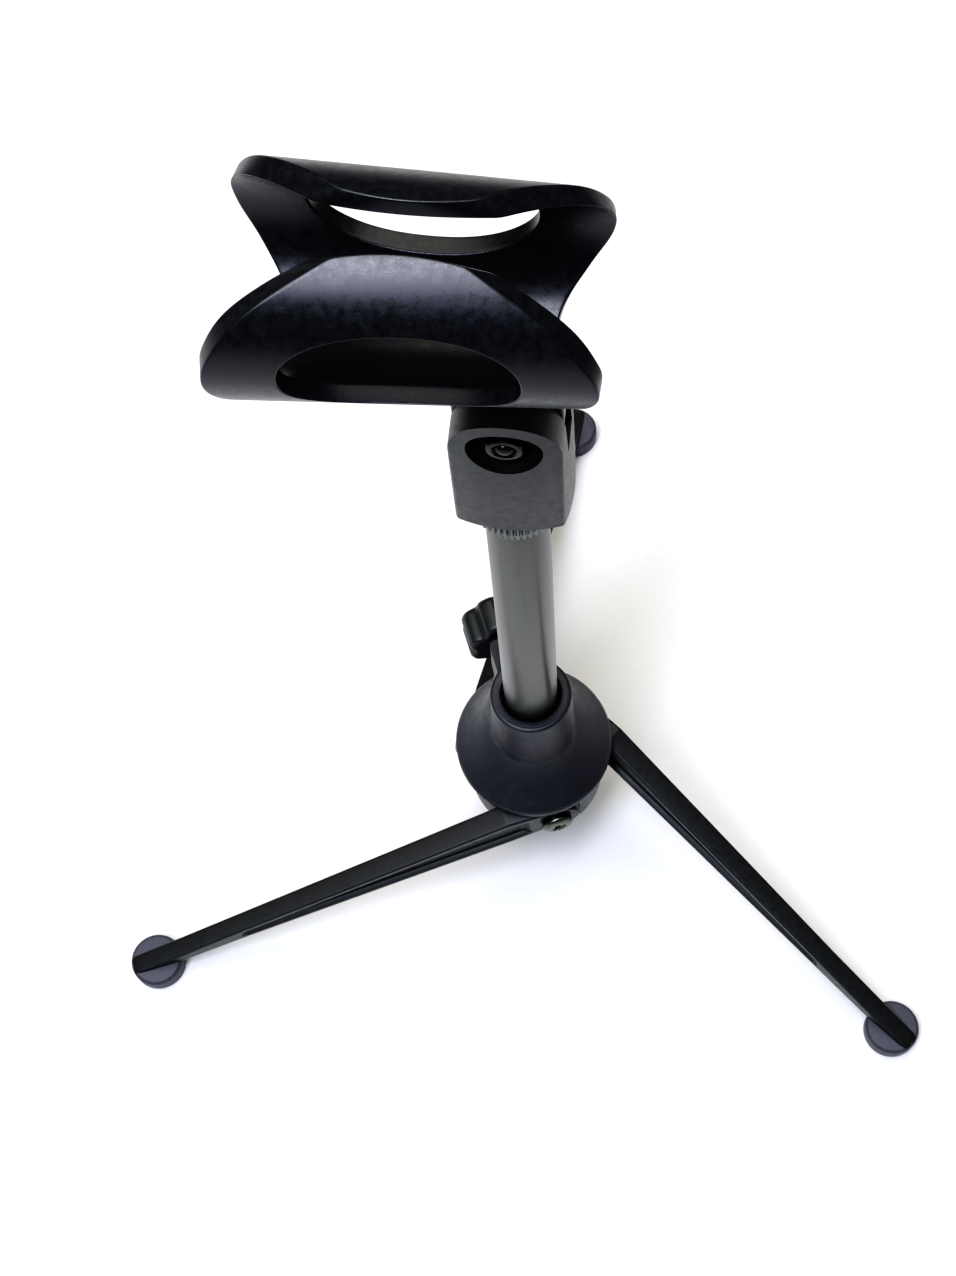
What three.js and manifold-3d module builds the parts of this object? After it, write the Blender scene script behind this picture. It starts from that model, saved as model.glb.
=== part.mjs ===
// Tabletop microphone stand: a folding tripod, a sliding mast held by a thumb screw, and a
// tilting spring clip on a threaded post. Millimetres, +Z up. The origin is on the table, in
// the middle of the stand's footprint, and the microphone lies along X.
import * as THREE from "three";
import { mergeVertices } from "three/addons/utils/BufferGeometryUtils.js";
import Module from "manifold-3d";

// ---- Driving dimensions -------------------------------------------------------------------

const GAP = 0.3; // clearance between pieces that touch

const FOOT_CIRCLE_R = 140.6; // mast axis to foot centres
const FOOT_R = 8.6;
const FOOT_H = 7.2;
const FOOT_EDGE = 0.9; // chamfer round a foot's top and bottom

const LEG_OFFSET = 18.8; // mast axis to the line of each leg
const LEG_W = 6.2; // across a leg at its tip
const LEG_FLARE = 1.4; // extra width on the outer side beside the hub
const LEG_TOP_Z = 52.2; // top of a leg beside the hub
const LEG_ROOT_R = 7.8; // round end about the pivot
const LEG_SHOULDER = 16; // level stretch before the leg slopes down
const LEG_POCKET_START = 8; // distance of the side pockets from the pivot
const LEG_UNDER = 6; // height of the leg's lower edge below the pivot, where it leaves the round end
const LEG_END = { bottom: 2.2, top: 6.9 }; // heights at the far edge of the foot
const LEG_RECESS = 1.7; // depth of the long pocket in each side
const LEG_RAIL = 2.5; // rail left above and below the pocket
const PIVOT_Z = LEG_TOP_Z - LEG_ROOT_R;
const FOLD_SCREW_R = 2.5;
const FOLD_HEAD_R = 5.2;
const FOLD_HEAD_H = 1.9;

const HUB_R = 21.6; // lower body
const HUB_BOTTOM_Z = 29;
const SKIRT_R = 24.2;
const SKIRT_Z = 53.2; // underside of the skirt's rim
const COLLAR_R = 12.3;
const COLLAR_BASE_Z = 71;
const COLLAR_TOP_Z = 100;

const MAST_R = 8;
const MAST_BORE_R = 6.8;
const MAST_BOTTOM_Z = 36;
const MAST_TOP_Z = 229;
const BORE_R = MAST_R + GAP; // guide bore of the hub

const CLAMP_Z = 90;
const CLAMP_AZIMUTH = 112.5; // degrees, seen from above, from +X
const BOSS_W = 15;
const BOSS_END = 20.6; // mast axis to the boss's outer face
const FLARE_R = 24.8; // rim of the skirt's swelling under the boss
const FLARE_SHIFT = 1.2; // distance of that rim's centre from the mast axis
const CLAMP_SCREW_R = 3;
const CLAMP_INSERT_R = 4.6;
const CLAMP_INSERT_START = 13; // mast axis to the insert's inner end
const CLAMP_TIP = 11; // mast axis to the end of the clamp screw
const KNOB_R = 13.4;
const KNOB_START = 21.6; // mast axis to the knob's inner face
const KNOB_L = 11.7;
const KNOB_LOBES = 8;
const KNOB_GROOVE_POWER = 2; // above 1 the grooves are narrower than the lobes

const STUD_R = 7.7; // 5/8 inch post thread, modelled as its plain cylinder
const RING_R = 10.8;
const RING_H = 9;
const RING_TEETH = 44;

const BASE_Z = MAST_TOP_Z + RING_H + 2 * GAP; // underside of the clip's base
const BASE_CORNER = { x: 12.6, y: 10.4 };
const BASE_BULGE = { x: 14.2, y: 12.6 }; // middles of the four bowed sides
const TILT_Z = 276; // tilt axis
const CHEEK_R = 12.4; // round top of the two cheeks
const LUG_Y = { low: -3.2, high: 4.8 }; // the clip's lug between the cheeks
const NUT_POCKET_R = 8.5;
const NUT_POCKET_DEPTH = 5.4;
const TILT_SCREW_R = 2.5;

const CRADLE_Z = 320.5; // axis of the microphone
const CRADLE_X = -17.7; // middle of the cradle
const CRADLE_R = 22.9; // outer radius at the middle
const CRADLE_TAPER = -1.5; // change of that radius from the middle to the +X end
const CRADLE_WALL = 3.9;
const CRADLE_HALF = 38.9; // half length at the widest
const CRADLE_END_SLOPE = 5.5; // how far the inner surface outreaches the outer one at the free ends
const ARM_ANGLE = 159.5; // corners of the free ends, degrees round from the bottom
const ARM_BOW = 4; // further degrees at the middle of each free end
const BACK_ARM_EXTRA = 3; // the back arm wraps round this many degrees further
const WINDOW = { half: 23.7, height: 11.7, z: 0.75, power: 2.3 }; // superellipse in each arm

const LEG_NAMES = ["back", "left", "right"];
const LEG_FOOT_AZIMUTH = [90, 210, 330];
const FOOT_ANGLE = THREE.MathUtils.radToDeg(Math.asin(LEG_OFFSET / FOOT_CIRCLE_R));
const LEG_REACH = Math.sqrt(FOOT_CIRCLE_R ** 2 - LEG_OFFSET ** 2); // pivot to foot centre
const LEG_OUTER = LEG_OFFSET + LEG_W / 2 + LEG_FLARE; // outer face of a leg at its pivot

// ---- Solids ---------------------------------------------------------------------------------

const wasm = await Module();
wasm.setup();

// A closed three.js geometry as a manifold-3d solid, turned the right way out.
function solid(geometry) {
  const bare = geometry.clone();
  for (const name of Object.keys(bare.attributes)) {
    if (name !== "position") bare.deleteAttribute(name);
  }
  const merged = mergeVertices(bare, 1e-4);
  const triVerts = new Uint32Array(merged.index.array);
  const vertProperties = new Float32Array(merged.attributes.position.array);
  const made = new wasm.Manifold(new wasm.Mesh({ numProp: 3, vertProperties, triVerts }));
  if (made.volume() > 0) return made;
  return new wasm.Manifold(
    new wasm.Mesh({ numProp: 3, vertProperties, triVerts: triVerts.reverse() }),
  );
}

const join = (first, ...rest) => rest.reduce((whole, piece) => whole.add(piece), first);
const cut = (first, ...rest) => rest.reduce((whole, piece) => whole.subtract(piece), first);

// A solid turned about the Z axis from a closed profile of [radius, z] points.
function turned(profile, segments = 40) {
  const points = profile.map(([r, z]) => new THREE.Vector2(r, z));
  points.push(points[0].clone());
  return solid(new THREE.LatheGeometry(points, segments).rotateX(Math.PI / 2));
}

const rod = (r, z0, z1, segments = 24) =>
  turned([[0, z0], [r, z0], [r, z1], [0, z1]], segments);

// A block between two corners.
function block([x0, y0, z0], [x1, y1, z1]) {
  const box = new THREE.BoxGeometry(x1 - x0, y1 - y0, z1 - z0);
  return solid(box.translate((x0 + x1) / 2, (y0 + y1) / 2, (z0 + z1) / 2));
}

// An outline drawn in XY, extruded from z0 to z1.
function plate(shape, z0, z1, curveSegments = 12) {
  const settings = { depth: z1 - z0, bevelEnabled: false, curveSegments };
  return solid(new THREE.ExtrudeGeometry(shape, settings).translate(0, 0, z0));
}

// An outline drawn in XZ, extruded from y0 to y1.
const slab = (shape, y0, y1, curveSegments = 12) =>
  plate(shape, -y1, -y0, curveSegments).rotate([90, 0, 0]);

// A solid built along Z, laid along the direction at an azimuth and a height.
const radial = (piece, azimuth, z) => piece.rotate([0, 90, 0]).rotate([0, 0, azimuth]).translate([0, 0, z]);

function outline(points) {
  return new THREE.Shape(points.map(([x, y]) => new THREE.Vector2(x, y)));
}

// ---- Materials ------------------------------------------------------------------------------

const finish = (color, roughness, metalness = 0) =>
  new THREE.MeshStandardMaterial({ color, roughness, metalness });

const moulded = finish(0x1c1d24, 0.5);
const hubPlastic = finish(0x23242c, 0.6);
const basePlastic = finish(0x3a3b3c, 0.55);
const legPlastic = finish(0x17181c, 0.5);
const rubber = finish(0x3c3b48, 0.8);
const paintedTube = finish(0x6a6b68, 0.35, 0.7);
const steel = finish(0xb9bbbd, 0.3, 1);
const brass = finish(0xb58f45, 0.35, 1);
const nylon = finish(0xe8e6df, 0.6);

const stand = new THREE.Group();
stand.position.y = -FOOT_CIRCLE_R / 4; // the mast is not in the middle of the footprint

function add(name, piece, material, parent = stand) {
  const mesh = piece.getMesh();
  const geometry = new THREE.BufferGeometry();
  geometry.setAttribute("position", new THREE.BufferAttribute(mesh.vertProperties, 3));
  geometry.setIndex(new THREE.BufferAttribute(mesh.triVerts, 1));
  const made = new THREE.Mesh(geometry, material);
  made.name = name;
  parent.add(made);
  return made;
}

// ---- Legs and feet --------------------------------------------------------------------------

// Height of a leg's top and bottom edge at a distance from its pivot. Both run straight on
// through the foot to its far edge.
const LEG_L = LEG_REACH + FOOT_R;
const legTop = (x) => {
  const t = Math.max(0, (x - LEG_SHOULDER) / (LEG_L - LEG_SHOULDER));
  return THREE.MathUtils.lerp(LEG_TOP_Z, LEG_END.top, t);
};
const legBottom = (x) =>
  THREE.MathUtils.lerp(PIVOT_Z - LEG_UNDER, LEG_END.bottom, x / LEG_L);

// What a leg covers seen from above, drawn in by an inset on both sides.
function legPlan(inset) {
  const inner = LEG_OFFSET - LEG_W / 2 + inset;
  const outer = LEG_OFFSET + LEG_W / 2 - inset;
  const plan = outline([
    [-20, inner],
    [LEG_REACH + 20, inner],
    [LEG_REACH + 20, outer],
    [LEG_REACH * 0.8, outer],
    [LEG_SHOULDER, outer + LEG_FLARE],
    [-20, outer + LEG_FLARE],
  ]);
  return plate(plan, -1, LEG_TOP_Z + 1);
}

// One leg along +X from its pivot, beside the line y = LEG_OFFSET.
function legSolid() {
  // The lower edge leaves the round end at rootX, where the two meet.
  const rootX = Math.sqrt(LEG_ROOT_R ** 2 - (PIVOT_Z - legBottom(LEG_ROOT_R / 2)) ** 2);
  const side = outline([
    [0, LEG_TOP_Z],
    [LEG_SHOULDER, LEG_TOP_Z],
    [LEG_L, LEG_END.top],
    [LEG_L, LEG_END.bottom],
    [rootX, legBottom(rootX)],
  ]);
  side.absarc(0, PIVOT_Z, LEG_ROOT_R, -Math.acos(rootX / LEG_ROOT_R), Math.PI / 2, true);
  const beam = slab(side, 0, LEG_OUTER + 5, 16).intersect(legPlan(0));

  const start = LEG_POCKET_START;
  const end = LEG_REACH - 30;
  const pocket = outline([
    [start, legBottom(start) + LEG_RAIL],
    [end, legBottom(end) + LEG_RAIL],
    [end, legTop(end) - LEG_RAIL],
    [LEG_SHOULDER, LEG_TOP_Z - LEG_RAIL],
    [start, LEG_TOP_Z - LEG_RAIL],
  ]);
  const pockets = slab(pocket, 0, LEG_OUTER + 5).subtract(legPlan(LEG_RECESS));

  // The tip's end follows the round edge of its foot.
  const foot = rod(FOOT_R - 0.1, 0, FOOT_H * 2, 32).translate([LEG_REACH, LEG_OFFSET, 0]);
  const tip = block([LEG_REACH, 0, 0], [LEG_REACH + FOOT_R + 1, LEG_OUTER + 5, FOOT_H * 2]);
  const bore = radial(rod(FOLD_SCREW_R + GAP, 0, LEG_OUTER + 5, 20), 90, PIVOT_Z);
  return cut(beam, pockets, tip.subtract(foot), bore);
}

function footSolid() {
  const pad = turned([
    [0, 0],
    [FOOT_R - FOOT_EDGE, 0],
    [FOOT_R, FOOT_EDGE],
    [FOOT_R, FOOT_H - FOOT_EDGE],
    [FOOT_R - FOOT_EDGE, FOOT_H],
    [0, FOOT_H],
  ]);
  const half = LEG_W / 2 + GAP;
  const x0 = LEG_REACH - FOOT_R - 1;
  const x1 = LEG_L + 1;
  const side = outline([
    [x0, legBottom(x0) - GAP],
    [x1, legBottom(x1) - GAP],
    [x1, FOOT_H * 2],
    [x0, FOOT_H * 2],
  ]);
  const groove = slab(side, LEG_OFFSET - half, LEG_OFFSET + half);
  return pad.translate([LEG_REACH, LEG_OFFSET, 0]).subtract(groove);
}

// The cross recess of a screw whose head faces +Z at the given height.
function crossRecess(z, size) {
  const depth = size * 0.35;
  const bar = block([-size / 2, -size / 9, z - depth], [size / 2, size / 9, z + 1]);
  return bar.add(bar.rotate([0, 0, 90]));
}

// A pan-head screw along +Z: the shank from z0 to z1, and the head above it.
function panScrew(shankR, headR, headH, z0, z1) {
  const screw = turned([
    [0, z0 + 0.4],
    [shankR - 0.5, z0],
    [shankR, z0 + 0.5],
    [shankR, z1],
    [headR, z1],
    [headR, z1 + headH * 0.45],
    [headR * 0.65, z1 + headH],
    [0, z1 + headH],
  ], 20);
  return screw.subtract(crossRecess(z1 + headH, headR * 1.15));
}

const WASHER_T = 0.6;
const HEAD_SEAT = LEG_OUTER + WASHER_T + 0.4;
const INSERT_R = 3.6;
const INSERT_START = 10.4;
const INSERT_END = LEG_OFFSET - LEG_W / 2 - GAP - 0.2;

LEG_NAMES.forEach((name, i) => {
  const azimuth = LEG_FOOT_AZIMUTH[i] - FOOT_ANGLE;
  const side = new THREE.Group();
  side.rotation.z = THREE.MathUtils.degToRad(azimuth);
  stand.add(side);
  add(`leg_${name}`, legSolid(), legPlastic, side);
  add(`foot_${name}`, footSolid(), rubber, side);

  const washer = rod(FOLD_HEAD_R - 0.3, 0, WASHER_T, 32).subtract(rod(FOLD_SCREW_R + 0.2, -1, 2, 20));
  add(
    `leg_washer_${name}`,
    radial(washer.translate([0, 0, LEG_OUTER + 0.2]), 90, PIVOT_Z),
    steel,
    side,
  );
  const screw = panScrew(FOLD_SCREW_R, FOLD_HEAD_R, FOLD_HEAD_H, INSERT_START + 0.6, HEAD_SEAT);
  add(`leg_screw_${name}`, radial(screw, 90, PIVOT_Z), steel, side);
  const insert = rod(INSERT_R, INSERT_START, INSERT_END, 24)
    .subtract(rod(FOLD_SCREW_R + 0.1, INSERT_START - 1, INSERT_END + 1, 20));
  add(`leg_insert_${name}`, radial(insert, 90, PIVOT_Z), brass, side);
});

// ---- Hub ------------------------------------------------------------------------------------

const BODY_TOP_Z = SKIRT_Z + 6;
const BODY_NECK_R = 15; // step that the cover sits round
const CEILING_Z = LEG_TOP_Z + GAP; // the legs open against this face
const COVER_SCREW_CIRCLE = 14;
const COVER_SCREW_R = 1.5;
const COVER_SCREW_TOP = 62;

function hubBody() {
  const body = turned([
    [BORE_R, HUB_BOTTOM_Z + 1.5],
    [BORE_R + 3, HUB_BOTTOM_Z],
    [HUB_R - 1.2, HUB_BOTTOM_Z],
    [HUB_R, HUB_BOTTOM_Z + 1.2],
    [HUB_R, SKIRT_Z + 1],
    [HUB_R - 1, SKIRT_Z + 2],
    [BODY_NECK_R + 3, BODY_TOP_Z],
    [BORE_R, BODY_TOP_Z],
  ], 44);
  const cuts = LEG_FOOT_AZIMUTH.map((foot) => {
    const slot = block(
      [-LEG_ROOT_R - 1.2, LEG_OFFSET - LEG_W / 2 - GAP, HUB_BOTTOM_Z - 1],
      [HUB_R + 2, HUB_R + 4, CEILING_Z],
    );
    const insertHole = radial(rod(INSERT_R + 0.15, INSERT_START - 0.4, HUB_R + 1, 24), 90, PIVOT_Z);
    return slot.add(insertHole).rotate([0, 0, foot - FOOT_ANGLE]);
  });
  const screwHoles = LEG_FOOT_AZIMUTH.map((foot) => coverScrewHole(foot));
  return cut(body, ...cuts, ...screwHoles);
}

const coverScrewAzimuth = (foot) => foot - FOOT_ANGLE + 90 - 46;
function atCoverScrew(piece, foot) {
  const angle = THREE.MathUtils.degToRad(coverScrewAzimuth(foot));
  return piece.translate([
    COVER_SCREW_CIRCLE * Math.cos(angle),
    COVER_SCREW_CIRCLE * Math.sin(angle),
    0,
  ]);
}

const COVER_HEAD_R = 2.7;
const COVER_HEAD_Z = HUB_BOTTOM_Z + 3;
function coverScrewHole(foot) {
  const hole = rod(COVER_SCREW_R + 0.2, HUB_BOTTOM_Z - 1, COVER_SCREW_TOP + 0.5, 16);
  const sink = rod(COVER_HEAD_R + 0.3, HUB_BOTTOM_Z - 1, COVER_HEAD_Z + 0.2, 20);
  return atCoverScrew(hole.add(sink), foot);
}

function coverScrew(foot) {
  const screw = panScrew(COVER_SCREW_R, COVER_HEAD_R, 1.6, -COVER_SCREW_TOP, -COVER_HEAD_Z);
  return atCoverScrew(screw.rotate([180, 0, 0]), foot);
}

// The skirt's outer slope, up to the crease at the foot of the collar.
function skirtCurve() {
  const curve = new THREE.CubicBezierCurve(
    new THREE.Vector2(SKIRT_R, SKIRT_Z + 3),
    new THREE.Vector2(SKIRT_R - 3.5, SKIRT_Z + 6.5),
    new THREE.Vector2(COLLAR_R + 3, COLLAR_BASE_Z - 5),
    new THREE.Vector2(COLLAR_R + 0.4, COLLAR_BASE_Z),
  );
  return curve.getPoints(6).map((p) => [p.x, p.y]);
}

// The skirt's swelling under the boss: round in plan, drifting outwards as it narrows upwards.
function clampFlare() {
  const low = SKIRT_Z + 3;
  const high = CLAMP_Z - 2;
  const curve = new THREE.QuadraticBezierCurve(
    new THREE.Vector2(FLARE_R, low),
    new THREE.Vector2(BOSS_W * 0.9, (low + high) / 2 - 3),
    new THREE.Vector2(BOSS_W / 2, high),
  );
  const profile = [
    new THREE.Vector2(0, SKIRT_Z),
    new THREE.Vector2(FLARE_R - 0.6, SKIRT_Z),
    new THREE.Vector2(FLARE_R, SKIRT_Z + 0.6),
    ...curve.getPoints(7),
    new THREE.Vector2(0, high),
    new THREE.Vector2(0, SKIRT_Z),
  ];
  const flare = new THREE.LatheGeometry(profile, 40).rotateX(Math.PI / 2);
  const position = flare.getAttribute("position");
  for (let i = 0; i < position.count; i++) {
    const rise = Math.max(0, position.getZ(i) - low) / (high - low);
    const shift = THREE.MathUtils.lerp(FLARE_SHIFT, BOSS_END - BOSS_W / 2, rise ** 1.7);
    position.setX(i, position.getX(i) + shift);
  }
  return solid(flare).rotate([0, 0, CLAMP_AZIMUTH]);
}

function hubCover() {
  const shell = turned([
    [0, SKIRT_Z],
    [SKIRT_R - 0.6, SKIRT_Z],
    [SKIRT_R, SKIRT_Z + 0.6],
    ...skirtCurve(),
    [COLLAR_R, COLLAR_TOP_Z - 0.8],
    [COLLAR_R - 0.8, COLLAR_TOP_Z],
    [0, COLLAR_TOP_Z],
  ], 44);
  const boss = block(
    [0, -BOSS_W / 2, CLAMP_Z - 7],
    [BOSS_END, BOSS_W / 2, COLLAR_TOP_Z - 0.4],
  ).rotate([0, 0, CLAMP_AZIMUTH]);

  // Room for the lower body and the mast.
  const room = turned([
    [0, SKIRT_Z - 1],
    [HUB_R + GAP, SKIRT_Z - 1],
    [HUB_R + GAP, SKIRT_Z + 1 + GAP],
    [HUB_R - 1 + GAP, SKIRT_Z + 2 + GAP * 2],
    [BODY_NECK_R + 3 + GAP, BODY_TOP_Z + GAP],
    [BORE_R, BODY_TOP_Z + GAP],
    [BORE_R, COLLAR_TOP_Z - 2.5],
    [BORE_R + 1, COLLAR_TOP_Z + 0.5],
    [BORE_R + 1, COLLAR_TOP_Z + 1],
    [0, COLLAR_TOP_Z + 1],
  ], 44);
  const tipHole = rod(CLAMP_SCREW_R + 0.25, BORE_R - 2, BOSS_END + 1, 24);
  const insertHole = rod(CLAMP_INSERT_R + 0.2, CLAMP_INSERT_START, BOSS_END + 1, 32);
  const drilled = radial(tipHole.add(insertHole), CLAMP_AZIMUTH, CLAMP_Z);
  const holes = LEG_FOOT_AZIMUTH.map((foot) => coverScrewHole(foot));
  return cut(join(shell, clampFlare(), boss), room, drilled, ...holes);
}

const PAD_R = CLAMP_SCREW_R;

add("hub_body", hubBody(), hubPlastic);
add("hub_cover", hubCover(), hubPlastic);
LEG_FOOT_AZIMUTH.forEach((foot, i) => add(`cover_screw_${i + 1}`, coverScrew(foot), steel));

const clampInsert = rod(CLAMP_INSERT_R, CLAMP_INSERT_START + GAP, BOSS_END - 0.4, 32)
  .subtract(rod(CLAMP_SCREW_R + 0.15, CLAMP_INSERT_START - 1, BOSS_END + 1, 24));
add("clamp_insert", radial(clampInsert, CLAMP_AZIMUTH, CLAMP_Z), brass);

// ---- Thumb screw ----------------------------------------------------------------------------

const SCREW_IN_KNOB = 8; // how far the screw reaches into the knob
const clampScrew = turned([
  [0, CLAMP_TIP],
  [CLAMP_SCREW_R - 0.6, CLAMP_TIP],
  [CLAMP_SCREW_R, CLAMP_TIP + 0.6],
  [CLAMP_SCREW_R, KNOB_START + SCREW_IN_KNOB],
  [0, KNOB_START + SCREW_IN_KNOB],
], 24);
add("clamp_screw", radial(clampScrew, CLAMP_AZIMUTH, CLAMP_Z), steel);

const clampPad = rod(PAD_R, MAST_R + 0.15, CLAMP_TIP - 0.2, 24);
add("clamp_pad", radial(clampPad, CLAMP_AZIMUTH, CLAMP_Z), nylon);

function lobedOutline(radius, lobes, depth, steps, power = 1) {
  const points = [];
  for (let i = 0; i < steps; i++) {
    const angle = (2 * Math.PI * i) / steps;
    const r = radius - depth * (0.5 - 0.5 * Math.cos(lobes * angle)) ** power;
    points.push([r * Math.cos(angle), r * Math.sin(angle)]);
  }
  return outline(points);
}

const knobOutline = lobedOutline(KNOB_R, KNOB_LOBES, 1.9, KNOB_LOBES * 12, KNOB_GROOVE_POWER);
const knobHead = plate(knobOutline, 0, KNOB_L).intersect(
  turned([
    [0, 0],
    [KNOB_R - 2.4, 0],
    [KNOB_R + 0.1, 1.2],
    [KNOB_R + 0.1, KNOB_L - 1.2],
    [KNOB_R - 2.6, KNOB_L],
    [0, KNOB_L],
  ], 32),
).subtract(rod(CLAMP_SCREW_R + 0.2, -1, SCREW_IN_KNOB + GAP, 24))
  .rotate([0, 0, 180 / KNOB_LOBES]);
add("clamp_knob", radial(knobHead.translate([0, 0, KNOB_START]), CLAMP_AZIMUTH, CLAMP_Z), moulded);

// ---- Mast -----------------------------------------------------------------------------------

add(
  "mast_tube",
  rod(MAST_R, MAST_BOTTOM_Z, MAST_TOP_Z, 48).subtract(
    rod(MAST_BORE_R, MAST_BOTTOM_Z - 1, MAST_TOP_Z + 1, 32),
  ),
  paintedTube,
);

// The plug at the foot of the tube.
const PLUG_H = 14;
add(
  "mast_end_plug",
  turned([
    [0, MAST_BOTTOM_Z - 1.8],
    [MAST_R - 1, MAST_BOTTOM_Z - 1.8],
    [MAST_R - 0.2, MAST_BOTTOM_Z - 1],
    [MAST_R - 0.2, MAST_BOTTOM_Z - GAP],
    [MAST_BORE_R - GAP, MAST_BOTTOM_Z - GAP],
    [MAST_BORE_R - GAP, MAST_BOTTOM_Z + PLUG_H],
    [0, MAST_BOTTOM_Z + PLUG_H],
  ], 32),
  moulded,
);

// The threaded post, whose lower end is pressed into the tube.
const STUD_TOP_Z = BASE_Z + 12;
const STUD_GRIP = 16;
add(
  "mast_stud",
  turned([
    [0, MAST_TOP_Z - STUD_GRIP],
    [MAST_BORE_R - 0.5, MAST_TOP_Z - STUD_GRIP],
    [MAST_BORE_R - 0.2, MAST_TOP_Z - STUD_GRIP + 0.4],
    [MAST_BORE_R - 0.2, MAST_TOP_Z + GAP],
    [STUD_R, MAST_TOP_Z + GAP],
    [STUD_R, STUD_TOP_Z - 1],
    [STUD_R - 1, STUD_TOP_Z],
    [0, STUD_TOP_Z],
  ], 32),
  steel,
);

// The knurled ring that locks the clip's base on the post.
function lockRing() {
  const z0 = MAST_TOP_Z + GAP;
  const teeth = plate(lobedOutline(RING_R, RING_TEETH, 0.9, RING_TEETH * 4), z0, z0 + RING_H);
  const envelope = turned([
    [STUD_R + 0.15, z0],
    [RING_R - 0.5, z0],
    [RING_R + 0.1, z0 + 0.6],
    [RING_R + 0.1, z0 + RING_H - 0.6],
    [RING_R - 0.5, z0 + RING_H],
    [STUD_R + 0.15, z0 + RING_H],
  ], 32);
  return teeth.intersect(envelope);
}
add("lock_ring", lockRing(), steel);

// ---- Clip base ------------------------------------------------------------------------------

// Arc through three points whose middle one is a bow beyond a chord, as a list of points.
function bow(from, to, middle, steps) {
  const half = Math.hypot(to[0] - from[0], to[1] - from[1]) / 2;
  const centre = [(from[0] + to[0]) / 2, (from[1] + to[1]) / 2];
  const rise = Math.hypot(middle[0] - centre[0], middle[1] - centre[1]);
  const radius = (half * half + rise * rise) / (2 * rise);
  const out = [(middle[0] - centre[0]) / rise, (middle[1] - centre[1]) / rise];
  const origin = [middle[0] - out[0] * radius, middle[1] - out[1] * radius];
  const span = Math.asin(half / radius);
  const along = [(to[0] - from[0]) / (2 * half), (to[1] - from[1]) / (2 * half)];
  const points = [];
  for (let i = 0; i < steps; i++) {
    const angle = span * ((2 * i) / steps - 1);
    const s = Math.sin(angle) * radius;
    const c = Math.cos(angle) * radius;
    points.push([origin[0] + along[0] * s + out[0] * c, origin[1] + along[1] * s + out[1] * c]);
  }
  return points;
}

// Seen from above, the base is a square with four bowed sides.
function baseOutline() {
  const { x, y } = BASE_CORNER;
  return outline([
    ...bow([-x, -y], [x, -y], [0, -BASE_BULGE.y], 8),
    ...bow([x, -y], [x, y], [BASE_BULGE.x, 0], 8),
    ...bow([x, y], [-x, y], [0, BASE_BULGE.y], 8),
    ...bow([-x, y], [-x, -y], [-BASE_BULGE.x, 0], 8),
  ]);
}

// Seen from the front, the base draws in a little to a round top about the tilt axis.
function cheekOutline() {
  const half = BASE_BULGE.x + 0.05;
  const top = { z: TILT_Z - 4, half: half - 1.5, rise: CHEEK_R + 4 };
  const side = new THREE.Shape();
  side.moveTo(-half, BASE_Z);
  side.lineTo(half, BASE_Z);
  side.lineTo(top.half, top.z);
  side.absellipse(0, top.z, top.half, top.rise, 0, Math.PI, false, 0);
  return side;
}

const INSERT_TOP_Z = BASE_Z + 14;
const BASE_INSERT_R = 9.6;

function clipBase() {
  const top = TILT_Z + CHEEK_R;
  const body = plate(baseOutline(), BASE_Z, top + 1).intersect(
    slab(cheekOutline(), -30, 30, 16),
  );
  const slotBottom = TILT_Z - CHEEK_R - 1.2;
  const slot = block(
    [-30, LUG_Y.low - GAP, slotBottom],
    [30, LUG_Y.high + GAP, top + 2],
  );
  const alongY = (piece) => radial(piece, 90, TILT_Z);
  const pocket = alongY(rod(NUT_POCKET_R, -20, -BASE_BULGE.y + NUT_POCKET_DEPTH, 40));
  const hole = alongY(rod(TILT_SCREW_R + 0.2, -20, 20, 20));
  const insertHole = rod(BASE_INSERT_R + 0.2, BASE_Z - 1, INSERT_TOP_Z + GAP, 40);
  return cut(body, slot, pocket, hole, insertHole);
}
add("clip_base", clipBase(), basePlastic);

const threadInsert = rod(BASE_INSERT_R, BASE_Z + 0.2, INSERT_TOP_Z, 40)
  .subtract(rod(STUD_R + 0.15, BASE_Z - 1, INSERT_TOP_Z + 1, 32));
add("thread_insert", threadInsert, brass);

// The tilt screw: its head is sunk in the back cheek's face, its nut in the front pocket.
const POCKET_FLOOR = -BASE_BULGE.y + NUT_POCKET_DEPTH;
const TILT_WASHER_T = 0.8;
const NUT_T = 3.2;
const NUT_ACROSS = 8;

const tiltScrew = panScrew(TILT_SCREW_R, 4.6, 2.4, POCKET_FLOOR - 5.0, BASE_BULGE.y + 0.2);
add("tilt_screw", radial(tiltScrew, 90, TILT_Z), steel);

const tiltWasher = rod(5.4, 0, TILT_WASHER_T, 32)
  .subtract(rod(TILT_SCREW_R + 0.15, -1, 2, 20))
  .translate([0, 0, POCKET_FLOOR - 0.2 - TILT_WASHER_T]);
add("tilt_washer", radial(tiltWasher, 90, TILT_Z), steel);

function nutSolid() {
  const z1 = POCKET_FLOOR - TILT_WASHER_T - 0.4;
  const z0 = z1 - NUT_T;
  const corner = NUT_ACROSS / Math.sqrt(3);
  const hexagon = turned([[0, z0], [corner, z0], [corner, z1], [0, z1]], 6);
  const chamfered = turned([
    [0, z0],
    [corner - 0.8, z0],
    [corner + 0.01, z0 + 0.5],
    [corner + 0.01, z1],
    [0, z1],
  ], 32);
  return hexagon.intersect(chamfered).subtract(rod(TILT_SCREW_R + 0.12, z0 - 1, z1 + 1, 20));
}
add("tilt_nut", radial(nutSolid(), 90, TILT_Z), steel);

// ---- Microphone clip ------------------------------------------------------------------------

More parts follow.
